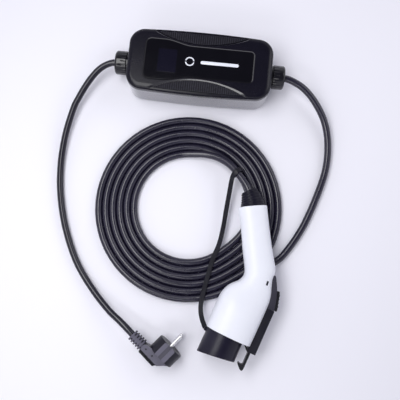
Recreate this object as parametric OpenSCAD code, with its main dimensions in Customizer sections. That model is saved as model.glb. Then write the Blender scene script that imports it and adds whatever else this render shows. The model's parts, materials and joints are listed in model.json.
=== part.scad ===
// Portable charger for electric cars, laid out flat: a control box, a supply lead with an
// angled earthed mains plug, and a coiled car cable that ends in a hand-held connector with
// a thumb latch and a tethered dust cap. Sizes are in millimetres, the floor is z = 0.

/* [Control box] */
// Length of the control box
box_l = 187; // [182:1:192]
// Width of the control box at its middle
box_w = 85; // [83:1:88]
// Height of the control box
box_h = 50; // [49:0.5:52]
// Corner radius of the box in plan
corner_r = 20; // [18:1:22]
// Outward bow of the long sides
side_bow = 2; // [1:0.5:3]
// Wall thickness of the base
wall = 2.6; // [2.2:0.1:3]

/* [Front panel] */
// Length of the light bar
bar_l = 49; // [40:1:51]
// Width of the light bar
bar_w = 4.4; // [3:0.1:5]
// Outer diameter of the touch ring
ring_d = 12; // [10:0.5:13]
// Line width of the touch ring
ring_line = 1.5; // [1:0.1:1.8]
// Display size along the box
display_l = 23; // [18:1:24]
// Display size across the box
display_w = 31; // [26:1:33]

/* [Glands and cables] */
// Outer diameter of the gland nuts
gland_d = 31; // [28:0.5:32]
// Diameter of the supply cable
supply_d = 8.6; // [8:0.1:9.2]
// Diameter of the car cable
ev_d = 9.2; // [8.8:0.1:9.5]

/* [Mains plug] */
// Diameter of the plug's round body
plug_d = 36; // [35:0.5:36.5]
// Diameter of the two pins
pin_d = 4.8; // [4:0.1:4.8]
// Length of the two pins
pin_l = 19; // [18:0.5:20]

/* [Connector] */
// Diameter of the connector's nose
nose_d = 43; // [42:0.2:43.4]
// Length of the nose in front of the shells
nose_l = 22; // [20:0.5:22.4]
// Wall thickness of the two shells
shell_t = 2.6; // [2.2:0.1:3]
// Wall thickness of the dust cap
cap_t = 1.9; // [1.6:0.1:2.2]
// Width of the tether strap
strap_w = 6; // [5:0.2:7]

/* [Hidden] */
$fn = 48;

// Box levels: the base ends at base_z, the seal fills the seam, the cover starts at seam_z
a = box_l / 2;
b = box_w / 2;
seam_z = box_h - 9;
base_z = seam_z - 1;
floor_t = wall;
ceiling_z = box_h - 3.4;
cover_wall = 2.4;
screw_x = a - 19;
screw_y = b - 19;
panel_z = box_h - 0.6;
panel_top = box_h + 0.8;
gland_z = 24;
gland_l = 18.5;
cable_in = a - 4;

// Lens-shaped grips on the long sides
lens_r = 128.5;
lens_y = b - 18.5;
lens_tilt = 3.5;
lens_depth = 1;
rib_pitch = 2.8;
rib_w = 1.2;

// Board inside the base
board_z = 12;
board_t = 1.6;
part_z = board_z + board_t;

// Coil of the car cable
coil_c = [3, -182];
coil_r = 118.5;
row_pitch = ev_d + 0.1;
coil_rows = 5;
inner_row = coil_r - coil_rows * row_pitch;

// Plug position: middle of its face, turned so that the pins point away from the coil
plug_c = [0, -358];
plug_turn = 50;
plug_l = 19.5;
block_h = 11.5;
block_back = -28.8;
boot_x = -25.6;
sleeve_end = 43.4;

// Connector position: middle of the shells' front plane, x forward along the nose,
// y toward the latch, z up; it lies on its side on the coil
gun_c = [65, -337, 27.3];
gun_turn = -109.5;
pivot = [-34, 38];
slot_w = 8.15;
handle_turn = 210;
handle_end = [-158.7, -34.2];
boot_bend = 0.8;
boot_l = 21.5;

// Connector sections from front to cable end: lower edge x and y, upper edge x and y,
// and half thickness
stations = [
  [0, -25.4, 0, 33.3, 25],
  [-16, -26.3, -15, 33.4, 26.2],
  [-30, -26.8, -28, 33.5, 26.6],
  [-41, -26.4, -39, 33.6, 25],
  [-50, -24.6, -48, 33.7, 22.4],
  [-57, -21.4, -58, 33.6, 20],
  [-62.5, -17, -68, 31.8, 18.7],
  [-67, -12.8, -77, 28.6, 18],
  [-72, -10.2, -86, 25.8, 17.5],
  [-77, -9.6, -94, 25.2, 17.2],
  [-84, -12, -103, 21, 17],
  [-105, -24.4, -123.4, 7.5, 16.6],
  [-128, -37.2, -145.5, -6, 16.2],
  [-149.4, -50.3, -167, -19.7, 16]
];
slot_stations = 9;
section_n = 12;
roundness = 2.4;

// Routes of the cables, from the box outward
supply_route = [
  [-cable_in, 0, gland_z],
  [-a - gland_l, 0, gland_z],
  [-a - gland_l - 10, -3, gland_z - 0.5],
  [-135.5, -15.5, 22.5],
  [-151, -35, 19.5],
  [-163, -66, 14.5],
  [-170.2, -102, 9.5],
  [-172, -142, 5.5],
  [-167, -182, 4.6],
  [-154.8, -224, 4.6],
  [-135, -266, 4.6],
  [-109.8, -299, 5.6],
  [-84.6, -323.2, 11],
  [-64.5, -338, 16],
  plug_at([boot_x, sleeve_end + 9, 0]),
  plug_at([boot_x, sleeve_end, 0])
];
lead_route = [
  [cable_in, 0, gland_z],
  [a + gland_l, 0, gland_z],
  [a + gland_l + 10, -2, gland_z - 0.3],
  [140, -11, 22],
  [158, -28, 17],
  [173, -52, 11],
  [180, -82, 6.6],
  [179, -116, 4.9],
  [169, -154, 4.9],
  [153.3, -196, 4.9],
  [131.3, -233, 4.9],
  coil_at(-31, coil_r + row_pitch + 0.7),
  coil_at(-38, coil_r + row_pitch + 0.3)
];
tail_route = concat(
  [for (t = [-12 : -20.5 : -258]) coil_at(t, inner_row)],
  [
    [1, -110, 6],
    [20, -109.8, 9.6],
    [37, -114, 14],
    [53, -123.5, 19],
    [67, -138.5, 24],
    gun_at(boot_at(boot_l + 3)),
    gun_at(boot_at(0.4 * boot_l)),
    gun_at(boot_at(-8)),
    gun_at(boot_at(-24))
  ]
);
lug_l = 3.2;
cap_end = 29.2;
cap_slant = 8;
cap_lean = 6;
strap_route = [
  [56.2, -137.1, 21.8],
  [55.4, -146, 19],
  [54.3, -159.7, 16.8],
  [52.5, -181.5, 14],
  [50.9, -203.4, 12.4],
  [47.8, -225.2, 11.4],
  [41, -247.5, 11],
  [36.7, -269.3, 11],
  [33.4, -289, 11.6],
  [31.7, -304.5, 13.6],
  [32.7, -314.4, 17.2],
  [34.4, -320.6, 21.2],
  gun_at([1.4, -nose_d / 2 - cap_t - lug_l - 4.5]),
  gun_at([2.9, -nose_d / 2 - cap_t - lug_l - 0.9])
];
loop_c = [61.8, -132.3, 22.1];
loop_dir = [0.64, -0.73, 0.23];

// Positions
function gun_at(p) = [
  gun_c.x + p.x * cos(gun_turn) - p.y * sin(gun_turn),
  gun_c.y + p.x * sin(gun_turn) + p.y * cos(gun_turn),
  gun_c.z
];
function plug_at(p) = [
  plug_c.x + p.x * cos(plug_turn) - p.y * sin(plug_turn),
  plug_c.y + p.x * sin(plug_turn) + p.y * cos(plug_turn),
  plug_d / 2 + p.z
];
function coil_at(t, r) = [
  coil_c.x + r * cos(t),
  coil_c.y + r * sin(t),
  ev_d / 2 + 0.1
];
function boot_angle(s) = handle_turn + boot_bend * max(0, s);
function boot_at(s) = let(t = boot_angle(s), r = 180 / (PI * boot_bend), d = min(0, s)) handle_end
  + r * [sin(t) - sin(handle_turn), cos(handle_turn) - cos(t)]
  + d * [cos(handle_turn), sin(handle_turn)];

// Plan outline of the box, inset by d: straight ends, round corners, bowed long sides
function quarter(d) = let(
    x = a - d, y = b - d, r = corner_r - d, yc = y - r - side_bow,
    big = ((x - r) ^ 2 + (r + side_bow) ^ 2 - r ^ 2) / (2 * side_bow),
    k = big - y, th = atan2(yc + k, x - r)
  ) concat(
    [for (i = [0 : 8]) [x - r + r * cos(th * i / 8), yc + r * sin(th * i / 8)]],
    [for (i = [1 : 4]) let(t = th + (90 - th) * i / 4) [big * cos(t), big * sin(t) - k]]
  );
function outline(d) = let(q = quarter(d), m = len(q) - 1) concat(
    q,
    [for (i = [m - 1 : -1 : 0]) [-q[i].x, q[i].y]],
    [for (i = [0 : m]) -q[i]],
    [for (i = [m - 1 : -1 : 0]) [q[i].x, -q[i].y]]
  );

// Half width of the front panel along the box, and its outline inset by d
function panel_half(x) = lens_y - 2.5 + 6.5 * (0.5 - 0.5 * cos(180 * min(1, max(0, (-10 - x) / 38))));
panel_l = -72;
panel_r = 70;
function panel_side(d) = concat(
    [for (i = [0 : 5]) [panel_r - 6 + (6 - d) * cos(18 * i), panel_half(60) - 6 + (6 - d) * sin(18 * i)]],
    [for (i = [0 : 8]) let(x = -10 - 38 * i / 8) [x, panel_half(x) - d]],
    [for (i = [0 : 5]) [panel_l + 8 - (8 - d) * sin(18 * i), panel_half(-60) - 8 + (8 - d) * cos(18 * i)]]
  );
function panel_outline(d) = let(p = panel_side(d), m = len(p) - 1) concat(
    p,
    [for (i = [m : -1 : 0]) [p[i].x, -p[i].y]]
  );

// Smooth curve through the points of a list, with m steps between neighbours
function mid(p, q, r, s, t) = 0.5 * (2 * q + (r - p) * t + (2 * p - 5 * q + 4 * r - s) * t ^ 2
    + (3 * q - p - 3 * r + s) * t ^ 3);
function smooth(v, m) = let(e = len(v) - 1) concat(
    [for (i = [0 : e - 1]) for (j = [0 : m - 1])
      mid(v[max(0, i - 1)], v[i], v[i + 1], v[min(e, i + 2)], j / m)],
    [v[e]]
  );
function unit(v) = v / norm(v);
function tangent(v, i) = unit(v[min(len(v) - 1, i + 1)] - v[max(0, i - 1)]);

// One half of a connector section as a closed loop: outer arc down, inner arc back up
function cosp(t) = sign(cos(t)) * pow(abs(cos(t)), 2 / roundness);
function sinp(t) = pow(abs(sin(t)), 2 / roundness);
function arc(s, inset, side, w0, i) = let(
    c = [s[0] + s[2], s[1] + s[3]] / 2, d = [s[2] - s[0], s[3] - s[1]],
    h = norm(d) / 2 - inset, e = unit(d), t = s[4] - inset,
    from = asin(pow(w0 / t, roundness / 2)), f = from + (180 - from) * i / section_n
  ) [c.x + e.x * h * cosp(f), c.y + e.y * h * cosp(f), side * (t * sinp(f) + 0.05)];
function half_loop(s, side, w0) = concat(
    [for (i = [0 : section_n]) arc(s, 0, side, w0, i)],
    [for (i = [section_n : -1 : 0]) arc(s, shell_t, side, w0, i)]
  );
function full_loop(s, inset) = concat(
    [for (i = [0 : section_n]) let(p = arc(s, inset, 1, slot_w, i)) [p.y, p.z]],
    [for (i = [section_n : -1 : 0]) let(p = arc(s, inset, -1, slot_w, i)) [p.y, p.z]]
  );

// Closed solid through rings of equal length, each ring anticlockwise seen from its far end;
// with loop the last ring joins the first, which leaves a hole through the middle
module skin(rings, flip = false, loop = false) {
  n = len(rings[0]);
  m = len(rings);
  sides = [for (k = [0 : m - (loop ? 1 : 2)]) for (i = [0 : n - 1]) let(j = (i + 1) % n, h = (k + 1) % m)
    [k * n + i, h * n + i, h * n + j, k * n + j]];
  halves = [for (q = sides) each [[q[0], q[1], q[2]], [q[0], q[2], q[3]]]];
  ends = loop ? [] : [[for (i = [0 : n - 1]) i], [for (i = [n - 1 : -1 : 0]) (m - 1) * n + i]];
  faces = concat(halves, ends);
  polyhedron([for (r = rings) each r],
    flip ? [for (f = faces) [for (i = [len(f) - 1 : -1 : 0]) f[i]]] : faces);
}

// Box shape from levels of inset and height
module levels(list) {
  skin([for (l = list) [for (p = outline(l[0])) [p.x, p.y, l[1]]]]);
}

// Round or flat strip swept along a route; up is a direction the route never takes
module sweep(route, profile, up = [0, 0, 1]) {
  skin([for (i = [0 : len(route) - 1]) let(
      t = tangent(route, i), s = unit(cross(t, up)), q = cross(s, t)
    ) [for (p = profile) route[i] + p.x * s + p.y * q]], true);
}
function disc(d, n) = [for (i = [0 : n - 1]) d / 2 * [cos(360 * i / n), sin(360 * i / n)]];

module in_gun() {
  translate(gun_c)
    rotate([0, 0, gun_turn])
      children();
}

module in_plug() {
  translate([plug_c.x, plug_c.y, plug_d / 2])
    rotate([0, 0, plug_turn])
      children();
}

module along_x(x = 0) {
  translate([x, 0, 0])
    rotate([0, 90, 0])
      children();
}

module at_corners(x, y) {
  for (i = [-1, 1])
    for (j = [-1, 1])
      translate([i * x, j * y, 0])
        children();
}

// Lower shell of the box with screw pillars, board posts and two cable holes
module box_base() {
  color("#1c1c1f")
    difference() {
      union() {
        levels([
          [3, 0], [1, 1], [0.3, 3], [0, 8], [0, base_z],
          [wall, base_z], [wall + 0.4, floor_t]
        ]);
        at_corners(screw_x, screw_y)
          translate([0, 0, floor_t - 0.5])
            cylinder(r = 4.5, h = base_z - floor_t + 0.5);
        at_corners(58, 25)
          translate([0, 0, floor_t - 0.5])
            cylinder(r = 3, h = board_z - floor_t + 0.5);
      }
      at_corners(screw_x, screw_y) {
        translate([0, 0, -1])
          cylinder(r = 3.3, h = 5);
        cylinder(r = 1.7, h = box_h);
      }
      translate([-a - 5, 0, gland_z])
        along_x()
          cylinder(r = 9.2, h = 12);
      translate([a - 7, 0, gland_z])
        along_x()
          cylinder(r = 9.2, h = 12);
    }
}

// Tilted disc that cuts a grip pocket on one long side
module lens(side, inset, from, h) {
  translate([0, side * (lens_y + inset), box_h - lens_depth])
    rotate([-lens_tilt * side, 0, 0])
      translate([0, side * (lens_r - inset), from])
        cylinder(r = lens_r - inset, h = h, $fn = 120);
}

// Upper shell with the panel recess, grip pockets and posts
module box_cover() {
  color("#222226")
    difference() {
      union() {
        levels([
          [cover_wall + 1.6, ceiling_z], [cover_wall, ceiling_z - 2], [cover_wall, seam_z],
          [0, seam_z], [0, box_h - 5], [0.4, box_h - 3.4], [1.3, box_h - 1.9],
          [2.8, box_h - 0.8], [5, box_h - 0.2], [7.5, box_h]
        ]);
        at_corners(screw_x, screw_y)
          translate([0, 0, seam_z - 1])
            cylinder(r = 4, h = ceiling_z - seam_z + 1.5);
        at_corners(50, 14)
          translate([0, 0, seam_z])
            cylinder(r = 2.4, h = ceiling_z - seam_z + 0.5);
      }
      at_corners(screw_x, screw_y)
        translate([0, 0, seam_z - 2])
          cylinder(r = 1.5, h = 6.5);
      for (side = [-1, 1])
        lens(side, 0, 0, 12);
      translate([0, 0, panel_z])
        linear_extrude(5)
          polygon(panel_outline(-0.1));
      translate([-42, 0, box_h / 2])
        cube([display_l + 0.4, display_w + 0.4, box_h * 2], center = true);
      translate([25.5, 0, box_h / 2])
        cube([bar_l - bar_w + 0.2, bar_w + 0.2, box_h * 2], center = true);
      for (i = [-1, 1])
        translate([25.5 + i * (bar_l - bar_w) / 2, 0, ceiling_z - 5])
          cylinder(d = bar_w + 0.2, h = 12);
    }
}

// Rubber gasket in the seam
module box_seal() {
  color("#0f0f10")
    difference() {
      translate([0, 0, base_z])
        linear_extrude(1)
          polygon(outline(0.7));
      translate([0, 0, base_z - 1])
        linear_extrude(3)
          polygon(outline(cover_wall));
    }
}

// Two arcs of the touch ring with bridges at the sides
module ring_arcs(d, line, h) {
  difference() {
    cylinder(d = d, h = h);
    translate([0, 0, -1])
      cylinder(d = d - 2 * line, h = h + 2);
    translate([0, 0, h / 2])
      cube([2 * d, 1.6, h * 2], center = true);
  }
}

module bar_shape(l, w, h) {
  translate([0, 0, h / 2])
    cube([l - w, w, h], center = true);
  for (i = [-1, 1])
    translate([i * (l - w) / 2, 0, 0])
      cylinder(d = w, h = h);
}

// Glossy waisted panel standing just proud of the cover
module front_panel() {
  color("#0a0a0c")
    difference() {
      union() {
        translate([0, 0, panel_z])
          linear_extrude(panel_top - panel_z - 0.35)
            polygon(panel_outline(0));
        translate([0, 0, panel_z])
          linear_extrude(panel_top - panel_z)
            polygon(panel_outline(0.5));
      }
      translate([25.5, 0, panel_z - 1])
        bar_shape(bar_l + 0.1, bar_w + 0.1, 5);
      translate([-13, 0, panel_z - 1])
        ring_arcs(ring_d + 0.1, ring_line + 0.1, 5);
    }
}

// Screen in the cover's window, behind the panel
module display_module() {
  color("#141c3a")
    translate([-42, 0, seam_z + (panel_z - seam_z) / 2])
      cube([display_l, display_w, panel_z - seam_z - 0.1], center = true);
}

// Light guide seen as the white bar
module light_bar() {
  color("#f4f6ff")
    translate([25.5, 0, seam_z])
      bar_shape(bar_l, bar_w, panel_top - seam_z + 0.1);
}

module touch_ring() {
  color("#f4f6ff")
    translate([-13, 0, panel_z])
      ring_arcs(ring_d, ring_line, panel_top - panel_z + 0.1);
}

// Soft grip with cross ribs, in the pocket on one side
module grip(side) {
  intersection() {
    union() {
      lens(side, 0.25, 0.05, 0.7);
      for (i = [-20 : 20])
        translate([i * rib_pitch, side * (lens_y + 10), box_h - lens_depth])
          rotate([-lens_tilt * side, 0, 0])
            translate([0, 0, 0.05])
              cube([rib_w, 24, 2.2], center = true);
    }
    lens(side, 0.25, 0.05, 3);
    translate([0, 0, box_h - 6])
      linear_extrude(8)
        polygon(outline(2.6));
  }
}

module grip_rear() {
  color("#3a3a40")
    grip(1);
}

module grip_front() {
  color("#3a3a40")
    grip(-1);
}

module cover_screws() {
  color("#8a8d92")
    at_corners(screw_x, screw_y) {
      difference() {
        translate([0, 0, 1.6])
          cylinder(r = 3, h = 2.4);
        translate([0, 0, 0.6])
          cylinder(r = 1.4, h = 2.2, $fn = 6);
      }
      translate([0, 0, 3.9])
        cylinder(r = 1.5, h = seam_z);
    }
}

module main_board() {
  color("#1f5a33")
    translate([0, 0, board_z + board_t / 2])
      cube([130, 60, board_t], center = true);
}

module display_board() {
  color("#1f5a33")
    translate([0, 0, seam_z - 0.8])
      cube([112, 36, 1.6], center = true);
}

module power_relays() {
  color("#20242c")
    for (i = [-1, 1])
      translate([-32, i * 15, part_z + 8])
        cube([19, 15.5, 16], center = true);
}

module current_sensor() {
  color("#3c3630")
    translate([34, 0, part_z])
      rotate_extrude()
        translate([6, 0])
          square([7, 10]);
}

module supply_module() {
  color("#2b2b2e")
    translate([2, 12, part_z + 8.5])
      cube([32, 22, 17], center = true);
}

module capacitors() {
  color("#2a2f55")
    for (i = [0 : 2])
      translate([-8 + i * 12, -16, part_z])
        cylinder(r = 5, h = 19);
}

module terminals(side) {
  difference() {
    translate([side * 55, 0, part_z + 8])
      cube([13, 34, 16], center = true);
    for (i = [-1 : 1])
      translate([side * 55, i * 10, part_z + 11])
        cylinder(r = 2.4, h = 8);
  }
}

module input_terminals() {
  color("#2f6a3d")
    terminals(-1);
}

module output_terminals() {
  color("#2f6a3d")
    terminals(1);
}

// Insulated wires between the cable ends and the terminal blocks
module cores(side, count) {
  for (i = [0 : count - 1])
    translate([side * 61.5, 2.2 * cos(360 * i / count), gland_z + 2.2 * sin(360 * i / count)])
      along_x()
        cylinder(r = 1.3, h = side * (cable_in - 61.8), $fn = 24);
}

module supply_cores() {
  color("#7a4a2a")
    mirror([1, 0, 0])
      cores(1, 3);
}

module ev_cores() {
  color("#7a4a2a")
    cores(1, 4);
}

// Gland pieces stand on the right-hand wall and are mirrored for the left
module gland_body(cable) {
  translate([0, 0, gland_z])
    along_x(a)
      rotate_extrude()
        polygon([
          [cable / 2 + 0.6, -wall - 8], [9, -wall - 8], [9, 0], [gland_d / 2 - 0.8, 0],
          [gland_d / 2 - 0.8, 3], [11, 3], [11, 12], [8, 12], [8, 1], [cable / 2 + 0.6, 1]
        ]);
}

module gland_nut(cable) {
  r = gland_d / 2;
  translate([0, 0, gland_z])
    along_x(a)
      rotate_extrude()
        polygon(concat(
          [[11.2, 3.3], [r - 0.4, 3.3], [r, 3.7]],
          [for (i = [0 : 6]) [r - 3.2 + 3.2 * cos(15 * i), gland_l - 3.2 + 3.2 * sin(15 * i)]],
          [[cable / 2 + 1.6, gland_l], [cable / 2 + 0.5, gland_l - 1.2],
           [cable / 2 + 0.5, 12.3], [11.2, 12.3]]
        ));
}

module gland_seal(cable) {
  translate([0, 0, gland_z])
    along_x(a + 1)
      difference() {
        cylinder(r = 8, h = 11);
        translate([0, 0, -1])
          cylinder(d = cable + 0.5, h = 13);
      }
}

module supply_gland_body() {
  color("#161618")
    mirror([1, 0, 0])
      gland_body(supply_d);
}

module supply_gland_nut() {
  color("#161618")
    mirror([1, 0, 0])
      gland_nut(supply_d);
}

module supply_gland_seal() {
  color("#0d0d0e")
    mirror([1, 0, 0])
      gland_seal(supply_d);
}

module ev_gland_body() {
  color("#161618")
    gland_body(ev_d);
}

module ev_gland_nut() {
  color("#161618")
    gland_nut(ev_d);
}

module ev_gland_seal() {
  color("#0d0d0e")
    gland_seal(ev_d);
}

module gland_locknuts() {
  color("#2a2a2c")
    for (i = [-1, 1])
      translate([i * (a - wall - 3.4), 0, gland_z])
        rotate([0, 90, 0])
          difference() {
            cylinder(r = 13.5, h = 6, $fn = 6, center = true);
            cylinder(r = 9.05, h = 8, center = true);
          }
}

module supply_cable() {
  color("#151517")
    sweep(smooth(supply_route, 2), disc(supply_d, 10));
}

// Angled plug: round body with guide flats, a rear block that carries a flange to pull it
// by, and a ribbed sleeve where the cable comes out
module plug_body() {
  color("#2a2a2d")
    in_plug()
      difference() {
        union() {
          along_x(-plug_l)
            rotate_extrude()
              polygon([
                [0, 0], [plug_d / 2 - 1, 0], [plug_d / 2, 1], [plug_d / 2, plug_l - 1.5],
                [plug_d / 2 - 1.5, plug_l], [0, plug_l]
              ]);
          translate([0, 0, -block_h])
            linear_extrude(2 * block_h)
              polygon([
                [-plug_l + 1, 16], [-plug_l - 2, 24.5], [block_back, 24.5], [block_back, -4.4],
                [-plug_l - 2.8, -10.2], [-plug_l + 1, 3.4 - plug_d / 2]
              ]);
          translate([0, 0, -block_h + 5])
            linear_extrude(2 * block_h - 10)
              polygon([
                [block_back + 1, 23], [block_back - 3, 23], [block_back - 3, -1.8],
                [block_back + 1, -5]
              ]);
          translate([0, 0, -block_h + 2.5])
            linear_extrude(2 * block_h - 5)
              polygon([
                [block_back - 2.8, 24], [block_back - 4.4, 23], [block_back - 4.4, -0.6],
                [block_back - 2.8, -2]
              ]);
          translate([boot_x, 0, 0])
            rotate([-90, 0, 0]) {
              cylinder(r = 6.4, h = sleeve_end);
              for (i = [1 : 5])
                translate([0, 0, sleeve_end - 2.3 - 3.9 * (i - 1)])
                  cylinder(r = 8 - 0.25 * i, h = 2.3);
            }
          translate([boot_x - 2.2, 20, -7])
            cube([4.4, sleeve_end - 20.5, 14]);
        }
        for (i = [-1, 1]) {
          translate([-plug_l, -8.3, i * (plug_d / 2 - 0.5) - 1.5])
            cube([plug_l + 2, 16.6, 3]);
          translate([-plug_l, -2.6, i * (plug_d / 2 - 1.3) - 1.5])
            cube([plug_l + 2, 5.2, 3]);
        }
        for (i = [-1, 1])
          translate([0, 0, i * 9.5])
            along_x(-12)
              cylinder(d = pin_d - 0.6, h = 30);
        for (i = [-1, 1])
          translate([-16, i * (plug_d / 2 - 0.6) - 0.75, -2.5])
            cube([30, 1.5, 5]);
        translate([0, -10, 0])
          along_x(-17)
            cylinder(r = 3.2, h = 30);
      }
}

// Two round pins with rounded tips, one above the other
module plug_pins() {
  color("#c9ccd1")
    in_plug()
      for (i = [-1, 1])
        translate([0, 0, i * 9.5])
          along_x(-12)
            rotate_extrude()
              polygon([
                [0, 0], [pin_d / 2 - 0.3, 0], [pin_d / 2 - 0.3, 12.3], [pin_d / 2, 12.3],
                [pin_d / 2, pin_l + 10.2], [pin_d / 2 - 0.8, pin_l + 11.5], [0, pin_l + 12]
              ]);
}

module plug_earth_clips() {
  color("#c9ccd1")
    in_plug()
      for (i = [-1, 1])
        translate([-16, i * (plug_d / 2 - 0.8) - 0.45, -2.4])
          cube([15, 0.9, 4.8]);
}

module plug_earth_socket() {
  color("#c9ccd1")
    in_plug()
      translate([0, -10, 0])
        along_x(-17)
          difference() {
            cylinder(r = 3.2, h = 16.5);
            translate([0, 0, 1.5])
              cylinder(r = 2.5, h = 20);
          }
}

module ev_cable_lead() {
  color("#151517")
    sweep(smooth(lead_route, 2), disc(ev_d, 10));
}

// Five rows of cable lying side by side
module ev_cable_coil() {
  color("#151517")
    translate([coil_c.x, coil_c.y, 0])
      rotate_extrude($fn = 72)
        polygon(concat(
          [for (k = [0 : coil_rows - 1]) for (t = [160, 120, 90, 60, 20])
            [coil_r - (coil_rows - 1 - k) * row_pitch + ev_d / 2 * cos(t), ev_d / 2 + ev_d / 2 * sin(t)]],
          [for (k = [coil_rows - 1 : -1 : 0]) for (t = [-50, -130])
            [coil_r - (coil_rows - 1 - k) * row_pitch + ev_d / 2 * cos(t), 0]]
        ));
}

// Innermost row, rising over the coil into the connector
module ev_cable_tail() {
  color("#151517")
    sweep(concat([for (i = [0 : 12]) tail_route[i]],
      smooth([for (i = [13 : len(tail_route) - 1]) tail_route[i]], 2)), disc(ev_d, 10));
}

// Half shells of the connector: sections swept from the front to the cable end
module half_shell(side) {
  s = smooth(stations, 2);
  skin([for (k = [0 : len(s) - 1]) half_loop(s[k], side, k <= 2 * slot_stations ? slot_w : 0)], side > 0);
}

screw_spots = [[-24, -15, 19.6], [-24, 22, 19.6], [-108, -5, 14.6], [-129.5, -17.3, 14.4]];

module gun_shell_upper() {
  color("#f3f4f6")
    in_gun()
      difference() {
        union() {
          half_shell(1);
          for (p = screw_spots)
            translate([p.x, p.y, 0.05])
              cylinder(r = 3.4, h = p.z, $fn = 24);
        }
        for (p = screw_spots)
          translate([p.x, p.y, -1])
            cylinder(r = 1.3, h = p.z - 2, $fn = 24);
        translate([-81, 19.5, 8])
          rotate([0, 0, -20])
            cube([5, 2.3, 20]);
      }
}

module gun_shell_lower() {
  color("#f3f4f6")
    in_gun()
      difference() {
        union() {
          half_shell(-1);
          for (p = screw_spots)
            translate([p.x, p.y, -p.z - 0.05])
              cylinder(r = 3.4, h = p.z, $fn = 24);
        }
        for (p = screw_spots)
          translate([p.x, p.y, -40]) {
            cylinder(r = 1.5, h = 50, $fn = 24);
            cylinder(r = 2.7, h = 40 - p.z + 3, $fn = 24);
          }
        translate([-81, 19.5, -28])
          rotate([0, 0, -20])
            cube([5, 2.3, 20]);
      }
}

// Five contact chambers, as y, z, contact radius and mouth radius
power_spots = [[6.8, 8.2], [6.8, -8.2]];
earth_spot = [-10.2, 0];
signal_spots = [[-5.6, 11], [-5.6, -11]];

// Round nose with its flange inside the shells' front end
module gun_nose() {
  color("#141416")
    in_gun()
      difference() {
        union() {
          translate([-4, 0, 0])
            rotate([90, 0, 90])
              linear_extrude(4)
                polygon(full_loop(stations[0], shell_t + 0.25));
          along_x(-10)
            cylinder(r = nose_d / 2 - 3, h = 12);
          along_x(0.1)
            rotate_extrude($fn = 72)
              polygon([
                [0, 0], [nose_d / 2, 0], [nose_d / 2, nose_l - 1.6],
                [nose_d / 2 - 1.5, nose_l - 0.1], [0, nose_l - 0.1]
              ]);
        }
        for (p = power_spots)
          translate([0, p.x, p.y])
            along_x(-11) {
              cylinder(r = 3, h = nose_l + 8, $fn = 32);
              cylinder(r = 2.3, h = 60, $fn = 32);
            }
        translate([0, earth_spot.x, earth_spot.y])
          along_x(-11) {
            cylinder(r = 3, h = nose_l + 8, $fn = 32);
            cylinder(r = 2, h = 60, $fn = 32);
          }
        for (p = signal_spots)
          translate([0, p.x, p.y])
            along_x(-11) {
              cylinder(r = 2, h = nose_l + 8, $fn = 32);
              cylinder(r = 1.4, h = 60, $fn = 32);
            }
        translate([1, -nose_d / 2 - 1, -2.5])
          cube([60, 3, 5]);
      }
}

module contact(y, z, r, bore) {
  translate([0, y, z])
    along_x(-14)
      difference() {
        cylinder(r = r, h = nose_l + 11, $fn = 32);
        translate([0, 0, 6])
          cylinder(r = bore, h = 60, $fn = 32);
      }
}

module power_contacts() {
  color("#c9a45c")
    in_gun()
      for (p = power_spots)
        contact(p.x, p.y, 3, 1.8);
}

module earth_contact() {
  color("#c9a45c")
    in_gun()
      contact(earth_spot.x, earth_spot.y, 3, 1.5);
}

module signal_contacts() {
  color("#c9a45c")
    in_gun()
      for (p = signal_spots)
        contact(p.x, p.y, 2, 0.9);
}

// Channel on top of the head that carries the latch lever, with a gusset under its front
module latch_rail() {
  color("#121214")
    in_gun()
      difference() {
        union() {
          translate([-50.6, 31.4, -8])
            cube([57.4, 11.3, 16]);
          translate([0, 0, -4])
            linear_extrude(8)
              polygon([[0.3, 27.6], [6.8, 31.5], [0.3, 31.5]]);
        }
        translate([-60, 33.4, -5.6])
          cube([80, 8.2, 11.2]);
        translate([pivot.x, pivot.y, -10])
          cylinder(r = 1.5, h = 20);
      }
}

// Curved frame around the thumb pad, let into the shells
module latch_bezel() {
  color("#3c3c42")
    in_gun()
      difference() {
        translate([0, 0, -8])
          linear_extrude(16)
            polygon([
              [-50.9, 26], [-50.9, 42.2], [-62, 39.8], [-74.7, 35.8], [-81.5, 32.5],
              [-87, 29.4], [-91, 27], [-88.5, 22.8], [-80, 22.4], [-72, 24], [-62, 26]
            ]);
        translate([-77.2, 31.8, -5.6])
          cube([40, 20, 11.2]);
        translate([-64, 27.4, 0])
          rotate([-90, 0, 0])
            cylinder(r = 3.4, h = 10);
      }
}

// One-piece lever: hook, arm, pivot boss and thumb pad
module latch_lever() {
  color("#0f0f11")
    in_gun()
      difference() {
        translate([0, 0, -5])
          linear_extrude(10)
            polygon([
              [24.9, 27.8], [22.8, 28.8], [22.8, 33.9], [-25, 33.9], [-41, 36.8], [-75.5, 36.8],
              [-75.5, 39.3], [-73.5, 40.2], [-63.5, 43], [-62.8, 42.4], [-62, 43.4], [-53, 45.6],
              [-51.6, 44.8], [-51.6, 41.1], [-34, 41.1], [-20, 39.3], [-10, 37.1], [24, 36.9],
              [28.6, 36.7], [30.6, 35.2], [29.8, 32.6]
            ]);
        translate([pivot.x, pivot.y, -10])
          cylinder(r = 1.8, h = 20);
      }
}

module latch_pin() {
  color("#b9bcc2")
    in_gun()
      translate([pivot.x, pivot.y, -8])
        cylinder(r = 1.5, h = 16);
}

// Coil spring under the thumb pad
spring_turns = 5;
spring_path = [for (i = [0 : 10 * spring_turns]) [
    -64 + 2.5 * cos(36 * i), 27.9 + 8.4 * i / (10 * spring_turns), 2.5 * sin(36 * i)
  ]];

module latch_spring() {
  color("#b9bcc2")
    in_gun()
      sweep(spring_path, disc(0.8, 6), [0, 1, 0]);
}

module latch_switch() {
  color("#1a1a1c")
    in_gun()
      translate([-61.5, 19.5, -3])
        cube([10.4, 6.5, 6]);
}

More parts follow.
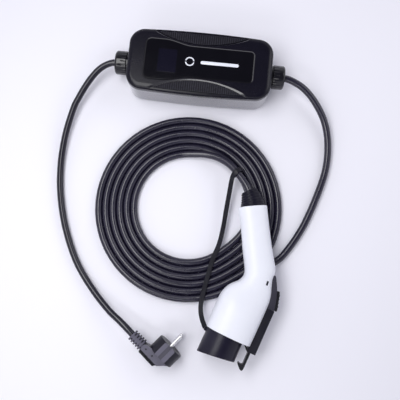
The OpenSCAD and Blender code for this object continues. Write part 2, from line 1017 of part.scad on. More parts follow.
// Ribbed sleeve that bends with the cable at the end of the grip
function boot_ring(s, r) = let(c = boot_at(s), t = boot_angle(s)) [for (i = [0 : 23])
    [c.x - r * sin(t) * cos(15 * i), c.y + r * cos(t) * cos(15 * i), r * sin(15 * i)]];

module cable_boot() {
  ribs = 4;
  pitch = (boot_l - 0.3) / ribs;
  hole = ev_d / 2 + 0.5;
  color("#1a1a1c")
    in_gun()
      skin(concat(
        [boot_ring(-10, 12.4), boot_ring(0.3, 12.4)],
        [for (k = [0 : ribs - 1]) for (e = [[0, 16.2], [0.62, 15.6], [0.66, 14.5], [0.96, 14.2]])
          boot_ring(0.3 + (k + e[0]) * pitch, e[1] - 1.5 * k)],
        [boot_ring(boot_l, 10.2)],
        [for (s = [boot_l, boot_l / 2, 0, -10]) boot_ring(s, hole)]
      ), false, true);
}

module cable_clamp() {
  color("#2c2c2f")
    in_gun()
      translate([handle_end.x, handle_end.y, 0])
        rotate([0, 0, handle_turn])
          along_x(-22)
            difference() {
              cylinder(r = 12.4, h = 11.8);
              translate([0, 0, -1])
                cylinder(d = ev_d + 0.1, h = 14);
            }
}

module gun_screws() {
  color("#8a8d92")
    in_gun()
      for (p = screw_spots) {
        translate([p.x, p.y, -p.z + 0.6])
          cylinder(r = 2.6, h = 2.4, $fn = 24);
        translate([p.x, p.y, -p.z + 2.8])
          cylinder(r = 1.3, h = 2 * p.z - 7, $fn = 24);
      }
}

// Soft cap over the nose with a slightly slanted end and a lug for the strap
module dust_cap() {
  color("#26262a")
    in_gun()
      difference() {
        union() {
          along_x(0.4)
            cylinder(r = nose_d / 2 + 0.25 + cap_t, h = 34, $fn = 72);
          translate([1.2, -nose_d / 2 - cap_t - lug_l, -3.5])
            cube([5, 6, 7]);
        }
        along_x(-1)
          cylinder(r = nose_d / 2 + 0.25, h = nose_l + 1.8, $fn = 72);
        translate([cap_end, 0, 0])
          rotate([0, -cap_lean, cap_slant])
            translate([0, -40, -40])
              cube([40, 80, 80]);
      }
}

// Flat strap from the cap to a loop around the cable
module cap_tether() {
  color("#2b2b30") {
    sweep(smooth(strap_route, 2), [
      [strap_w / 2, -0.8], [strap_w / 2, 0.8], [-strap_w / 2, 0.8], [-strap_w / 2, -0.8]
    ]);
    translate(loop_c)
      rotate([0, acos(loop_dir.z / norm(loop_dir)), atan2(loop_dir.y, loop_dir.x)])
        difference() {
          cylinder(r = ev_d / 2 + 2.3, h = strap_w, center = true);
          cylinder(r = ev_d / 2 + 0.9, h = strap_w + 2, center = true);
        }
  }
}

box_base();
box_cover();
box_seal();
front_panel();
display_module();
light_bar();
touch_ring();
grip_rear();
grip_front();
cover_screws();
main_board();
display_board();
power_relays();
current_sensor();
supply_module();
capacitors();
input_terminals();
output_terminals();
supply_cores();
ev_cores();
supply_gland_body();
supply_gland_nut();
supply_gland_seal();
ev_gland_body();
ev_gland_nut();
ev_gland_seal();
gland_locknuts();
supply_cable();
plug_body();
plug_pins();
plug_earth_clips();
plug_earth_socket();
ev_cable_lead();
ev_cable_coil();
ev_cable_tail();
gun_shell_upper();
gun_shell_lower();
gun_nose();
power_contacts();
earth_contact();
signal_contacts();
latch_rail();
latch_bezel();
latch_lever();
latch_pin();
latch_spring();
latch_switch();
cable_boot();
cable_clamp();
gun_screws();
dust_cap();
cap_tether();
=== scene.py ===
import json
import math

import bmesh
import bpy
from mathutils import Matrix, Vector


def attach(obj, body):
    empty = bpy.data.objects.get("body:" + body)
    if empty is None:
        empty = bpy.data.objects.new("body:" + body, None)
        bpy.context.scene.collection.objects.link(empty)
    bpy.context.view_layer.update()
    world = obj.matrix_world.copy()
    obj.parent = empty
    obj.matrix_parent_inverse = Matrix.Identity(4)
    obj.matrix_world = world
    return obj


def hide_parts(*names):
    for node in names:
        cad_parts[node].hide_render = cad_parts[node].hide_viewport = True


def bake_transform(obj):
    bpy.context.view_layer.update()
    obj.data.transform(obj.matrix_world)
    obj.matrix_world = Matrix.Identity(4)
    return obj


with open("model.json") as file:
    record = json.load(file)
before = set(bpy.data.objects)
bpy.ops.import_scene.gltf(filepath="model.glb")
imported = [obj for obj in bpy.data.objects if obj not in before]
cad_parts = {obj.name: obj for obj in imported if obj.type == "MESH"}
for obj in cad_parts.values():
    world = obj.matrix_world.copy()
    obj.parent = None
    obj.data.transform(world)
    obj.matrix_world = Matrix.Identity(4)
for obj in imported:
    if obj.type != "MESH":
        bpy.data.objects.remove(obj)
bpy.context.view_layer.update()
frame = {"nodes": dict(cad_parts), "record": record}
scene = bpy.context.scene
scene.view_settings.view_transform = "Standard"
NODES = frame["nodes"]
MM = 0.001  # shapes are made in millimetres and become metres as objects


# Vectors and curves, in millimetres
def unit(v):
    return v / v.length


def cubic(p, q, r, s, t):
    """A place between q and r on the smooth curve that p and s lead in and out."""
    return 0.5 * (2 * q + (r - p) * t + (2 * p - 5 * q + 4 * r - s) * t ** 2
                  + (3 * q - p - 3 * r + s) * t ** 3)


def catmull(points, steps):
    """Smooth curve through the points, with equal steps between neighbours."""
    pts = [Vector(p) for p in points]
    last = len(pts) - 1
    out = []
    for i in range(last):
        p, q, r, s = pts[max(0, i - 1)], pts[i], pts[i + 1], pts[min(last, i + 2)]
        out += [cubic(p, q, r, s, j / steps) for j in range(steps)]
    out.append(pts[last])
    return out


def resample(path, step):
    """The same curve with points at an even distance."""
    lengths = [0.0]
    for a, b in zip(path, path[1:]):
        lengths.append(lengths[-1] + (b - a).length)
    count = max(2, round(lengths[-1] / step))
    out, k = [], 0
    for i in range(count + 1):
        want = lengths[-1] * i / count
        while k < len(path) - 2 and lengths[k + 1] < want:
            k += 1
        span = lengths[k + 1] - lengths[k] or 1.0
        out.append(path[k].lerp(path[k + 1], (want - lengths[k]) / span))
    return out


def frames_along(path):
    """Tangent, side and top direction at each point, turned as little as possible."""
    n = len(path)
    tangents = [unit(path[min(n - 1, i + 1)] - path[max(0, i - 1)]) for i in range(n)]
    side = unit(tangents[0].cross(Vector((0, 0, 1))))
    out = []
    for t in tangents:
        side = unit(side - t * side.dot(t))
        out.append((t, side, side.cross(t)))
    return out


# Meshes
def loft_faces(rings, size, caps=(True, True), loop=False):
    """Faces between rings of equal size, with end caps or closed into a loop."""
    faces = []
    for k in range(rings if loop else rings - 1):
        a, b = k * size, ((k + 1) % rings) * size
        for i in range(size):
            j = (i + 1) % size
            faces.append((a + i, a + j, b + j, b + i))
    if not loop and caps[0]:
        faces.append(tuple(range(size))[::-1])
    if not loop and caps[1]:
        faces.append(tuple((rings - 1) * size + i for i in range(size)))
    return faces


class Shape:
    """Vertices in millimetres and faces, gathered before they become one piece."""

    def __init__(self):
        self.verts, self.faces = [], []

    def add(self, verts, faces):
        base = len(self.verts)
        self.verts += [Vector(v) for v in verts]
        self.faces += [tuple(base + i for i in f) for f in faces]
        return self

    def loft(self, rings, caps=(True, True), loop=False):
        verts = [p for ring in rings for p in ring]
        return self.add(verts, loft_faces(len(rings), len(rings[0]), caps, loop))

    def prism(self, outline, low, high):
        """Outline of x, y points drawn up from one height to another."""
        return self.loft([[(x, y, low) for x, y in outline], [(x, y, high) for x, y in outline]])

    def moved(self, matrix):
        self.verts = [matrix @ v for v in self.verts]
        return self


def new_object(name, shape):
    """The shape as an object in metres, with its faces turned outward."""
    mesh = bpy.data.meshes.new(name)
    mesh.from_pydata([tuple(v * MM) for v in shape.verts], [], shape.faces)
    bm = bmesh.new()
    bm.from_mesh(mesh)
    bmesh.ops.recalc_face_normals(bm, faces=bm.faces)
    bm.to_mesh(mesh)
    bm.free()
    obj = bpy.data.objects.new(name, mesh)
    scene.collection.objects.link(obj)
    return obj


def make(name, shape, material, body="charger", sharp=32, replaces=(), ride=True):
    """One piece: its mesh and materials, its body, and the CAD nodes that it replaces."""
    obj = new_object(name, shape)
    finish_mesh(obj, sharp)
    for m in material if isinstance(material, (list, tuple)) else [material]:
        obj.data.materials.append(m)
    if ride:
        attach(obj, body)
    if replaces:
        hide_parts(*replaces)
    return obj


def finish_mesh(obj, sharp):
    """Smooth shading, apart from edges sharper than the angle."""
    for p in obj.data.polygons:
        p.use_smooth = True
    obj.data.set_sharp_from_angle(angle=math.radians(sharp))


def soft_edges(obj, width, segments=2, angle=30):
    """Small round on every edge sharper than the angle, with even shading on the flats."""
    m = obj.modifiers.new("edge", "BEVEL")
    m.width = width * MM
    m.segments = segments
    m.limit_method = "ANGLE"
    m.angle_limit = math.radians(angle)
    return flat_weighted(obj)


def flat_weighted(obj):
    m = obj.modifiers.new("shade", "WEIGHTED_NORMAL")
    m.keep_sharp = True
    return obj


def cut(obj, cutters, operation="DIFFERENCE"):
    """Takes the cutters' shapes out of the piece, or adds them, and removes the cutters."""
    for c in cutters:
        m = obj.modifiers.new("cut", "BOOLEAN")
        m.operation = operation
        m.solver = "EXACT"
        m.object = c
    bpy.context.view_layer.update()
    done = obj.evaluated_get(bpy.context.evaluated_depsgraph_get())
    mesh = bpy.data.meshes.new_from_object(done)
    obj.modifiers.clear()
    obj.data = mesh
    for c in cutters:
        bpy.data.objects.remove(c)
    return obj


def join(obj, others):
    return cut(obj, others, "UNION")


def loose(shape):
    """A shape as a bare object, to cut or join with."""
    return new_object("cutter", shape)


def circle(r, n, start=0.0):
    return [(r * math.cos(start + 2 * math.pi * i / n), r * math.sin(start + 2 * math.pi * i / n))
            for i in range(n)]


def lathe(profile, n=64):
    """Profile of radius and height turned around z; it starts and ends on the axis or closes."""
    shape = Shape()
    on_axis = profile[0][0] < 1e-6
    inner = [p for p in profile if p[0] > 1e-6]
    rings = [[(x, y, z) for x, y in circle(r, n)] for r, z in inner]
    shape.loft(rings, caps=(False, False), loop=not on_axis)
    if on_axis:
        first, last = len(shape.verts), len(shape.verts) + 1
        shape.verts += [Vector((0, 0, profile[0][1])), Vector((0, 0, profile[-1][1]))]
        end = (len(inner) - 1) * n
        shape.faces += [(first, (i + 1) % n, i) for i in range(n)]
        shape.faces += [(last, end + i, end + (i + 1) % n) for i in range(n)]
    return shape


def tube(path, radius, sides=16):
    rings = [[p + radius * (c * side + d * top) for c, d in circle(1, sides)]
             for p, (_, side, top) in zip(path, frames_along(path))]
    return Shape().loft(rings)


def strap(path, half_width, half_thick, up=Vector((0, 0, 1)), round_edge=0.45):
    """Flat strip with softened edges along a path."""
    w, h, e = half_width, half_thick, round_edge
    section = [(w, -h + e), (w, h - e), (w - e, h), (e - w, h), (-w, h - e), (-w, e - h),
               (e - w, -h), (w - e, -h)]
    rings = []
    n = len(path)
    for i, p in enumerate(path):
        t = unit(path[min(n - 1, i + 1)] - path[max(0, i - 1)])
        s = unit(t.cross(up))
        q = s.cross(t)
        rings.append([p + x * s + y * q for x, y in section])
    return Shape().loft(rings)


# Materials
def node(tree, kind, **values):
    """A new shader node; each value sets a property, or else a socket."""
    n = tree.nodes.new(kind)
    for k, v in values.items():
        if hasattr(n, k):
            setattr(n, k, v)
        else:
            n.inputs[k].default_value = v
    return n


def plastic(name, color, rough, grain=2200, depth=0.04, vary=0.12, blotch=45, gloss=0.5,
            coat=0.0, coat_rough=0.08, metal=0.0, spread=0.08):
    """Moulded surface: fine grain in the relief, slow changes in colour and roughness."""
    mat = bpy.data.materials.new(name)
    mat.use_nodes = True
    tree = mat.node_tree
    link = tree.links.new
    shader = tree.nodes["Principled BSDF"]
    shader.inputs["Specular IOR Level"].default_value = gloss
    shader.inputs["Metallic"].default_value = metal
    shader.inputs["Coat Weight"].default_value = coat
    shader.inputs["Coat Roughness"].default_value = coat_rough
    place = node(tree, "ShaderNodeTexCoord")
    slow = node(tree, "ShaderNodeTexNoise", Scale=blotch, Detail=3.0, Roughness=0.6)
    fine = node(tree, "ShaderNodeTexNoise", Scale=grain, Detail=2.0, Roughness=0.5)
    link(place.outputs["Object"], slow.inputs["Vector"])
    link(place.outputs["Object"], fine.inputs["Vector"])
    ramp = node(tree, "ShaderNodeMapRange")
    ramp.inputs["From Min"].default_value = 0.3
    ramp.inputs["From Max"].default_value = 0.7
    link(slow.outputs["Fac"], ramp.inputs["Value"])
    mix = node(tree, "ShaderNodeMix", data_type="RGBA")
    factor, dark, light, mixed = mix.inputs[0], mix.inputs[6], mix.inputs[7], mix.outputs[2]
    dark.default_value = (*[c * (1 - vary) for c in color], 1)
    light.default_value = (*[min(1.0, c * (1 + vary)) for c in color], 1)
    link(ramp.outputs["Result"], factor)
    link(mixed, shader.inputs["Base Color"])
    wear = node(tree, "ShaderNodeMapRange")
    wear.inputs["From Min"].default_value = 0.25
    wear.inputs["From Max"].default_value = 0.75
    wear.inputs["To Min"].default_value = max(0.02, rough - spread)
    wear.inputs["To Max"].default_value = min(1.0, rough + spread)
    link(slow.outputs["Fac"], wear.inputs["Value"])
    link(wear.outputs["Result"], shader.inputs["Roughness"])
    bump = node(tree, "ShaderNodeBump", Strength=min(1.0, depth * 4), Distance=0.0002)
    link(fine.outputs["Fac"], bump.inputs["Height"])
    link(bump.outputs["Normal"], shader.inputs["Normal"])
    return mat


box_black = plastic("box_black", (0.087, 0.085, 0.106), 0.14, grain=2600, depth=0.010, spread=0.03,
                    gloss=0.8, coat=1.0, coat_rough=0.12)
cover_black = plastic("cover_black", (0.0024, 0.0019, 0.0080), 0.26, grain=2600, depth=0.006,
                      spread=0.03, gloss=0.3)
# Glossier, slightly lighter copy of the cover black for the lens pocket walls: painted highlight along
# the pocket rims, besides the real gloss.
cover_edge = plastic("cover_edge", (0.0030, 0.0026, 0.0080), 0.2, grain=2600, depth=0.006,
                     spread=0.03, coat=0.7, coat_rough=0.14)
panel_black = plastic("panel_black", (0.0022, 0.0020, 0.0046), 0.12, grain=1500, depth=0.006,
                      spread=0.03, gloss=0.3)
# Glossier, slightly lighter copy of the panel black for the rim that faces back and right: painted
# highlight along those edges, besides the real gloss.
panel_edge = plastic("panel_edge", (0.0030, 0.0028, 0.0055), 0.12, grain=1500, depth=0.006,
                     spread=0.03, coat=1.0, coat_rough=0.1)
window_black = plastic("window_black", (0.0040, 0.0036, 0.0115), 0.12, grain=3000, depth=0.004,
                       spread=0.02, gloss=0.3)
grip_grey = plastic("grip_grey", (0.0035, 0.0032, 0.0065), 0.42, grain=1800, depth=0.03, gloss=0.15)
# Lighter grey for the raised rib tops of the grips: painted highlight on the ridges.
grip_ridge = plastic("grip_ridge", (0.027, 0.026, 0.038), 0.42, grain=1800, depth=0.03, gloss=0.15)
seal_black = plastic("seal_black", (0.005, 0.0047, 0.0075), 0.6, depth=0.06)
gland_black = plastic("gland_black", (0.0045, 0.0042, 0.0085), 0.13, grain=1600, depth=0.010, spread=0.03)
cable_black = plastic("cable_black", (0.0130, 0.0113, 0.0275), 0.20, grain=1300, depth=0.03, gloss=0.6)
lead_black = plastic("lead_black", (0.0060, 0.0050, 0.0150), 0.16, grain=1300, depth=0.02, spread=0.03)
plug_black = plastic("plug_black", (0.0075, 0.0068, 0.0145), 0.34, grain=1700, depth=0.04, gloss=0.3)
# Lighter grey for the plug's upward faces: painted light on its tops.
plug_painted_top = plastic("plug_painted_top", (0.096, 0.091, 0.132), 0.55, grain=1700, depth=0.06)
# Mid grey for the groove floors: painted light, less of it than on the flats.
plug_groove = plastic("plug_groove", (0.050, 0.047, 0.072), 0.50, grain=1700, depth=0.06)
shell_white = plastic("shell_white", (0.785, 0.80, 0.88), 0.36, grain=1500, depth=0.010,
                      vary=0.012, gloss=0.4)
nose_black = plastic("nose_black", (0.007, 0.0066, 0.0105), 0.38, depth=0.05)
latch_black = plastic("latch_black", (0.0050, 0.0047, 0.0095), 0.36, depth=0.04)
bezel_grey = plastic("bezel_grey", (0.022, 0.020, 0.036), 0.45, depth=0.06)
cap_rubber = plastic("cap_rubber", (0.0080, 0.0068, 0.0190), 0.34, grain=1500, depth=0.04, gloss=0.28)
boot_black = plastic("boot_black", (0.0030, 0.0024, 0.0105), 0.34, grain=1500, depth=0.05, gloss=0.22)
strap_rubber = plastic("strap_rubber", (0.0070, 0.0066, 0.0125), 0.36, grain=1400, depth=0.05, gloss=0.25)
rail_black = plastic("rail_black", (0.0060, 0.0055, 0.0135), 0.36, depth=0.04)
pin_dark = plastic("pin_dark", (0.05, 0.05, 0.055), 0.4, grain=900, depth=0.03, metal=1.0)
screen = plastic("screen", (0.010, 0.014, 0.05), 0.1, grain=3000, depth=0.004)
part_dark = plastic("part_dark", (0.02, 0.02, 0.024), 0.5, depth=0.05)
board_green = plastic("board_green", (0.02, 0.12, 0.05), 0.35, grain=700, depth=0.05)
capacitor_blue = plastic("capacitor_blue", (0.03, 0.04, 0.14), 0.3)
terminal_green = plastic("terminal_green", (0.04, 0.18, 0.07), 0.45)
core_brown = plastic("core_brown", (0.20, 0.09, 0.035), 0.4)
steel = plastic("steel", (0.50, 0.51, 0.53), 0.28, grain=900, depth=0.03, metal=1.0)
nickel = plastic("nickel", (0.72, 0.72, 0.74), 0.16, grain=900, depth=0.02, metal=1.0)
brass = plastic("contact_brass", (0.72, 0.52, 0.22), 0.22, grain=900, depth=0.02, metal=1.0)


def glow(name, color, strength):
    """A surface that gives off a weak light of its own colour: painted glow, not a lamp."""
    mat = plastic(name, color, 0.25, depth=0.01, vary=0.02)
    shader = mat.node_tree.nodes["Principled BSDF"]
    shader.inputs["Emission Color"].default_value = (*color, 1)
    shader.inputs["Emission Strength"].default_value = strength
    return mat


# The light bar and touch ring glow weakly: painted light that keeps these white parts bright.
light_white = glow("light_white", (0.70, 0.72, 0.80), 0.12)

BY_SLOT = {
    "box_black": box_black, "panel_black": panel_black, "screen": screen,
    "light_white": light_white, "grip_grey": grip_grey, "seal_black": seal_black,
    "steel": steel, "board_green": board_green, "part_dark": part_dark,
    "capacitor_blue": capacitor_blue, "terminal_green": terminal_green,
    "core_brown": core_brown, "gland_black": gland_black, "cable_black": cable_black,
    "plug_black": plug_black, "nickel": nickel, "shell_white": shell_white,
    "nose_black": nose_black, "contact_brass": brass, "latch_black": latch_black,
    "bezel_grey": bezel_grey, "cap_rubber": cap_rubber,
}
for part in frame["record"]["subparts"]:
    NODES[part["node"]].data.materials.clear()
    NODES[part["node"]].data.materials.append(BY_SLOT[part["material_slot"]])
NODES["latch_pin"].data.materials[0] = pin_dark


# Camera: above the layout, a little toward the viewer, turned so that the box leans as seen
cam_at, cam_to = Vector((26.8, -266.8, 693.2)) * MM, Vector((17.15, -169.84, 0)) * MM
cam_right = Vector((0.9951, 0.0993, 0))
SENSOR, PHOTO_W, FOCAL = 36, 400, 526.3  # the first in millimetres, the others in the photo's pixels
cam = bpy.data.objects.new("camera", bpy.data.cameras.new("camera"))
scene.collection.objects.link(cam)
ahead = unit(cam_to - cam_at)
right = unit(cam_right - ahead * cam_right.dot(ahead))
above = right.cross(ahead)
cam.matrix_world = Matrix((
    (right.x, above.x, -ahead.x, cam_at.x),
    (right.y, above.y, -ahead.y, cam_at.y),
    (right.z, above.z, -ahead.z, cam_at.z),
    (0, 0, 0, 1)))
cam.data.sensor_width = SENSOR
cam.data.lens = FOCAL / PHOTO_W * SENSOR
cam.data.clip_start = 0.01
cam.data.clip_end = 20
scene.camera = cam


# Floor and light
def make_floor():
    mat = bpy.data.materials.new("floor")
    mat.use_nodes = True
    tree = mat.node_tree
    shader = tree.nodes["Principled BSDF"]
    shader.inputs["Roughness"].default_value = 0.55
    shader.inputs["Specular IOR Level"].default_value = 0.25
    shader.inputs["Base Color"].default_value = (0.865, 0.86, 0.94, 1)
    reach, below = 3, 0.0003
    mesh = bpy.data.meshes.new("floor")
    mesh.from_pydata([(-reach, -reach, 0), (reach, -reach, 0), (reach, reach, 0), (-reach, reach, 0)],
                     [], [(0, 1, 2, 3)])
    floor = bpy.data.objects.new("floor", mesh)
    floor.location.z = -below
    mesh.materials.append(mat)
    scene.collection.objects.link(floor)


def area_light(name, at, to, size, power, color=(1, 1, 1)):
    data = bpy.data.lights.new(name, "AREA")
    data.shape = "RECTANGLE"
    data.size, data.size_y = size
    data.energy = power
    data.color = color
    obj = bpy.data.objects.new(name, data)
    obj.location = at
    obj.rotation_euler = (Vector(to) - Vector(at)).to_track_quat("-Z", "Y").to_euler()
    scene.collection.objects.link(obj)


def studio(horizon, zenith):
    """Soft dome, brighter at the sides than overhead."""
    world = bpy.data.worlds.new("studio")
    scene.world = world
    world.use_nodes = True
    tree = world.node_tree
    back = tree.nodes["Background"]
    back.inputs["Color"].default_value = (0.93, 0.93, 1.0, 1)
    place = node(tree, "ShaderNodeTexCoord")
    split = node(tree, "ShaderNodeSeparateXYZ")
    ramp = node(tree, "ShaderNodeMapRange", interpolation_type="SMOOTHSTEP")
    ramp.inputs["From Min"].default_value = 0.45
    ramp.inputs["From Max"].default_value = 0.9
    ramp.inputs["To Min"].default_value = horizon
    ramp.inputs["To Max"].default_value = zenith
    tree.links.new(place.outputs["Generated"], split.inputs["Vector"])
    tree.links.new(split.outputs["Z"], ramp.inputs["Value"])
    tree.links.new(ramp.outputs["Result"], back.inputs["Strength"])


make_floor()
studio(horizon=0.85, zenith=0.15)
area_light("key", (-0.24, -0.14, 0.75), (0.06, -0.17, 0.0), (0.68, 0.34), 4.0)
area_light("fill", (0.55, 0.22, 0.55), (0.05, -0.1, 0.0), (0.4, 0.4), 0.85)
area_light("front", (-0.22, -0.85, 0.69), (0.03, -0.05, 0.04), (0.6, 0.14), 1.3)

# Places that the source also names
BOX_A, BOX_B, BOX_H = 93.5, 42.5, 50.0
CORNER, BOW = 20.0, 2.0
GLAND_Z, GLAND_L = 24.0, 18.5
SUPPLY_D, EV_D = 8.6, 9.2
COIL = Vector((3, -182, 0))
COIL_R, PITCH = 118.5, EV_D + 0.1
PLUG_D, PLUG_L, BLOCK_H, BLOCK_BACK = 36.0, 19.5, 11.5, -28.8
BOOT_X, SLEEVE_END = -25.6, 43.4
PLUG_TURN, PLUG_AT = math.radians(50), Vector((0, -358, 18))
GUN_TURN, GUN_AT = math.radians(-109.5), Vector((65, -337, 27.3))
GUN = Matrix.Translation(GUN_AT) @ Matrix.Rotation(GUN_TURN, 4, "Z")
PLUG = Matrix.Translation(PLUG_AT) @ Matrix.Rotation(PLUG_TURN, 4, "Z")
HANDLE_END = Vector((-158.7, -34.2, 0))
HANDLE_TURN, BOOT_BEND, BOOT_L = math.radians(210), math.radians(0.8), 21.5


def gun_at(u, v, w=0.0):
    return GUN @ Vector((u, v, w))


def boot_angle(s):
    return HANDLE_TURN + BOOT_BEND * max(0.0, s)


def boot_at(s):
    t = boot_angle(s)
    bend = Vector((math.sin(t) - math.sin(HANDLE_TURN), math.cos(HANDLE_TURN) - math.cos(t), 0))
    straight = min(0.0, s) * Vector((math.cos(HANDLE_TURN), math.sin(HANDLE_TURN), 0))
    return HANDLE_END + bend / BOOT_BEND + straight


# Supply cable: from the left gland to the plug's sleeve. Its two ends bend a little more softly than
# in the source, so that no bend is tighter than four diameters
supply_route = [
    (-BOX_A - 12, 0.5, GLAND_Z), (-BOX_A - GLAND_L, 0, GLAND_Z), (-118.6, -1.5, 23.8),
    (-125, -4.5, 23.5), (-130.8, -8.7, 23.1), (-136, -14, 22.5), (-140.7, -20.2, 21.7),
    (-145.2, -27.3, 20.7), (-150.6, -37, 19.2), (-157, -50.5, 17), (-163, -66, 14.5),
    (-170.2, -102, 9.5), (-172, -142, 5.5), (-167, -182, 4.6), (-154.8, -224, 4.6),
    (-135, -266, 4.6), (-109.8, -299, 6), (-84.6, -323.2, 11.6), (-69, -334.4, 15.3),
    PLUG @ Vector((BOOT_X, SLEEVE_END + 9, -0.4)), PLUG @ Vector((BOOT_X, SLEEVE_END - 1, 0))]
supply_path = resample(catmull(supply_route, 12), 4)
supply_cord = make("supply_cord", tube(supply_path, SUPPLY_D / 2, 20), lead_black,
                   replaces=["supply_cable"])


# Car cable: lead, six rows of the coil with their shifts under the connector, and the tail
def smoothstep(x):
    x = min(1.0, max(0.0, x))
    return x * x * (3 - 2 * x)


def coil_at(angle, radius, z=EV_D / 2):
    return Vector((COIL.x + radius * math.cos(angle), COIL.y + radius * math.sin(angle), z))


lead_route = [
    (BOX_A + 12, 0, GLAND_Z), (BOX_A + GLAND_L, 0, GLAND_Z), (BOX_A + GLAND_L + 10, -2, 23.7),
    (140, -11, 22), (158, -28, 17), (173, -52, 11), (180, -82, 6.6), (179, -116, 4.9),
    (169, -154, 4.9), (153.3, -196, 4.9), (131.3, -233, 4.9)]
# Where each row shifts inward and over how much to either side, in degrees
ROWS, LEAD_OFF = 6, 0.5
SHIFT_AT = [43, 36, 33, 30, 27, 24]
SHIFT_HALF = [13, 20, 22, 24, 26, 26]


def spiral_radius(turned):
    """Radius after an angle in degrees, counted clockwise from the middle of the right side."""
    r = COIL_R + PITCH + LEAD_OFF
    for k in range(ROWS):
        start = SHIFT_AT[k] + 360 * k - SHIFT_HALF[k]
        step = PITCH + (LEAD_OFF if k == 0 else 0)
        r -= step * smoothstep((turned - start) / (2 * SHIFT_HALF[k]))
    return r


TURNED_FIRST, TURNED_LAST, TURN_STEPS = 31, 258 + 360 * (ROWS - 1), 330
turns = [coil_at(-math.radians(t), spiral_radius(t))
         for t in [TURNED_FIRST + (TURNED_LAST - TURNED_FIRST) * i / TURN_STEPS
                   for i in range(TURN_STEPS + 1)]]
tail_route = [
    (1, -110, 6), (20, -109.8, 9.6), (37, -114, 14), (53, -123.5, 19), (67, -138.5, 24),
    GUN @ boot_at(BOOT_L + 3), GUN @ boot_at(0.4 * BOOT_L), GUN @ boot_at(-8), GUN @ boot_at(-20)]
lead_part = catmull(lead_route + turns[:2], 12)[:-12]
tail_part = catmull(turns[-2:] + tail_route, 12)[12:]
ev_path = resample(lead_part[:-1] + turns + tail_part[1:], 4)
ev_cord = make("ev_cord", tube(ev_path, EV_D / 2, 20), cable_black,
               replaces=["ev_cable_lead", "ev_cable_coil", "ev_cable_tail"])


# Pieces of the box
def box_outline(inset, corner_n=14, side_n=22):
    """Plan outline: straight ends, round corners and bowed long sides."""
    x, y, r = BOX_A - inset, BOX_B - inset, CORNER - inset
    yc = y - r - BOW
    big = ((x - r) ** 2 + (r + BOW) ** 2 - r ** 2) / (2 * BOW)
    k = big - y
    turn = math.atan2(yc + k, x - r)
    q = [(x - r + r * math.cos(turn * i / corner_n), yc + r * math.sin(turn * i / corner_n))
         for i in range(corner_n + 1)]
    for i in range(1, side_n + 1):
        t = turn + (math.pi / 2 - turn) * i / side_n
        q.append((big * math.cos(t), big * math.sin(t) - k))
    return (q + [(-u, v) for u, v in q[-2::-1]] + [(-u, -v) for u, v in q]
            + [(u, -v) for u, v in q[-2::-1]])


def box_levels(levels):
    return Shape().loft([[(x, y, z) for x, y in box_outline(inset)] for inset, z in levels])


def post(x, y, r, low, high, n=32):
    return Shape().prism([(x + u, y + v) for u, v in circle(r, n)], low, high)


def corners(x, y):
    return [(i * x, j * y) for i in (-1, 1) for j in (-1, 1)]


ALONG_X = Matrix.Rotation(math.pi / 2, 4, "Y")
SCREWS = corners(BOX_A - 19, BOX_B - 19)
SCREW_HEAD_R, SCREW_R, GLAND_HOLE_R = 3.3, 1.7, 9.2
SEAM_Z, BASE_Z, WALL = BOX_H - 9, BOX_H - 10, 2.6
LENS_R, LENS_Y, LENS_TILT, LENS_DEPTH = 128.5, BOX_B - 18.5, math.radians(3.5), 1.0

# Insets and heights, from the foot up the wall and down inside
base = make("box_tub", box_levels(
    [(3, 0), (1.9, 0.25), (1, 1), (0.3, 3), (0.08, 5.5), (0, 8), (0, BASE_Z - 0.8),
     (0.12, BASE_Z - 0.3), (0.5, BASE_Z), (WALL, BASE_Z), (WALL + 0.4, WALL)]),
    box_black, replaces=["box_base"])
cut(base, [loose(Shape().loft([[(x, u, v + GLAND_Z) for u, v in circle(GLAND_HOLE_R, 40)] for x in ends]))
           for ends in ((-BOX_A - 5, -BOX_A + 6), (BOX_A - 6, BOX_A + 5))]
    + [loose(post(x, y, SCREW_HEAD_R, -1, 4)) for x, y in SCREWS]
    + [loose(post(x, y, SCREW_R, 3, 6)) for x, y in SCREWS])
finish_mesh(base, 30)
flat_weighted(base)


def lens_place(side):
    return (Matrix.Translation((0, side * LENS_Y, BOX_H - LENS_DEPTH))
            @ Matrix.Rotation(-LENS_TILT * side, 4, "X"))


def lens_cutter(side, slope):
    """Tilted disc with a sloping wall, to press a pocket into the cover."""
    rings = []
    for r, z in ((LENS_R, 0), (LENS_R + slope, LENS_DEPTH), (LENS_R + 6 * slope, 6 * LENS_DEPTH)):
        rings.append([(u, side * LENS_R + v, z) for u, v in circle(r, 360)])
    return loose(Shape().loft(rings).moved(lens_place(side)))


def round_over(inset, low, high, steps=9):
    """Levels of an edge that rolls from a wall over to the top."""
    out = []
    for i in range(steps + 1):
        t = math.pi / 2 * i / steps
        out.append((inset * (1 - math.cos(t)) ** 1.15, low + (high - low) * math.sin(t)))
    return out


cover = make("box_lid", box_levels(
    [(4, BOX_H - 3.4), (2.4, BOX_H - 5.4), (2.4, SEAM_Z), (0.5, SEAM_Z), (0.12, SEAM_Z + 0.25),
     (0, SEAM_Z + 0.7)] + round_over(7.5, BOX_H - 5, BOX_H)),
    cover_black, replaces=["box_cover"])


# Waisted front panel, its light bar, touch ring and display window
PANEL_Z, PANEL_TOP = BOX_H - 0.6, BOX_H + 0.8
PANEL_LEFT, PANEL_RIGHT, LEFT_R, RIGHT_R = -72, 70, 8, 6
WAIST_X, WAIST_RUN, WAIST_RISE = -10, 38, 6.5
BAR_X, BAR_L, BAR_W = 25.5, 49.0, 4.4
RING_X, RING_D, RING_LINE, RING_GAP = -13, 12.0, 1.5, 1.6
WINDOW = (-54, -30, -17, 14)


def panel_half(x):
    """Half the panel's depth, which grows toward its left end."""
    ramp = min(1.0, max(0.0, (WAIST_X - x) / WAIST_RUN))
    return LENS_Y - 2.5 + WAIST_RISE * (0.5 - 0.5 * math.cos(math.pi * ramp))


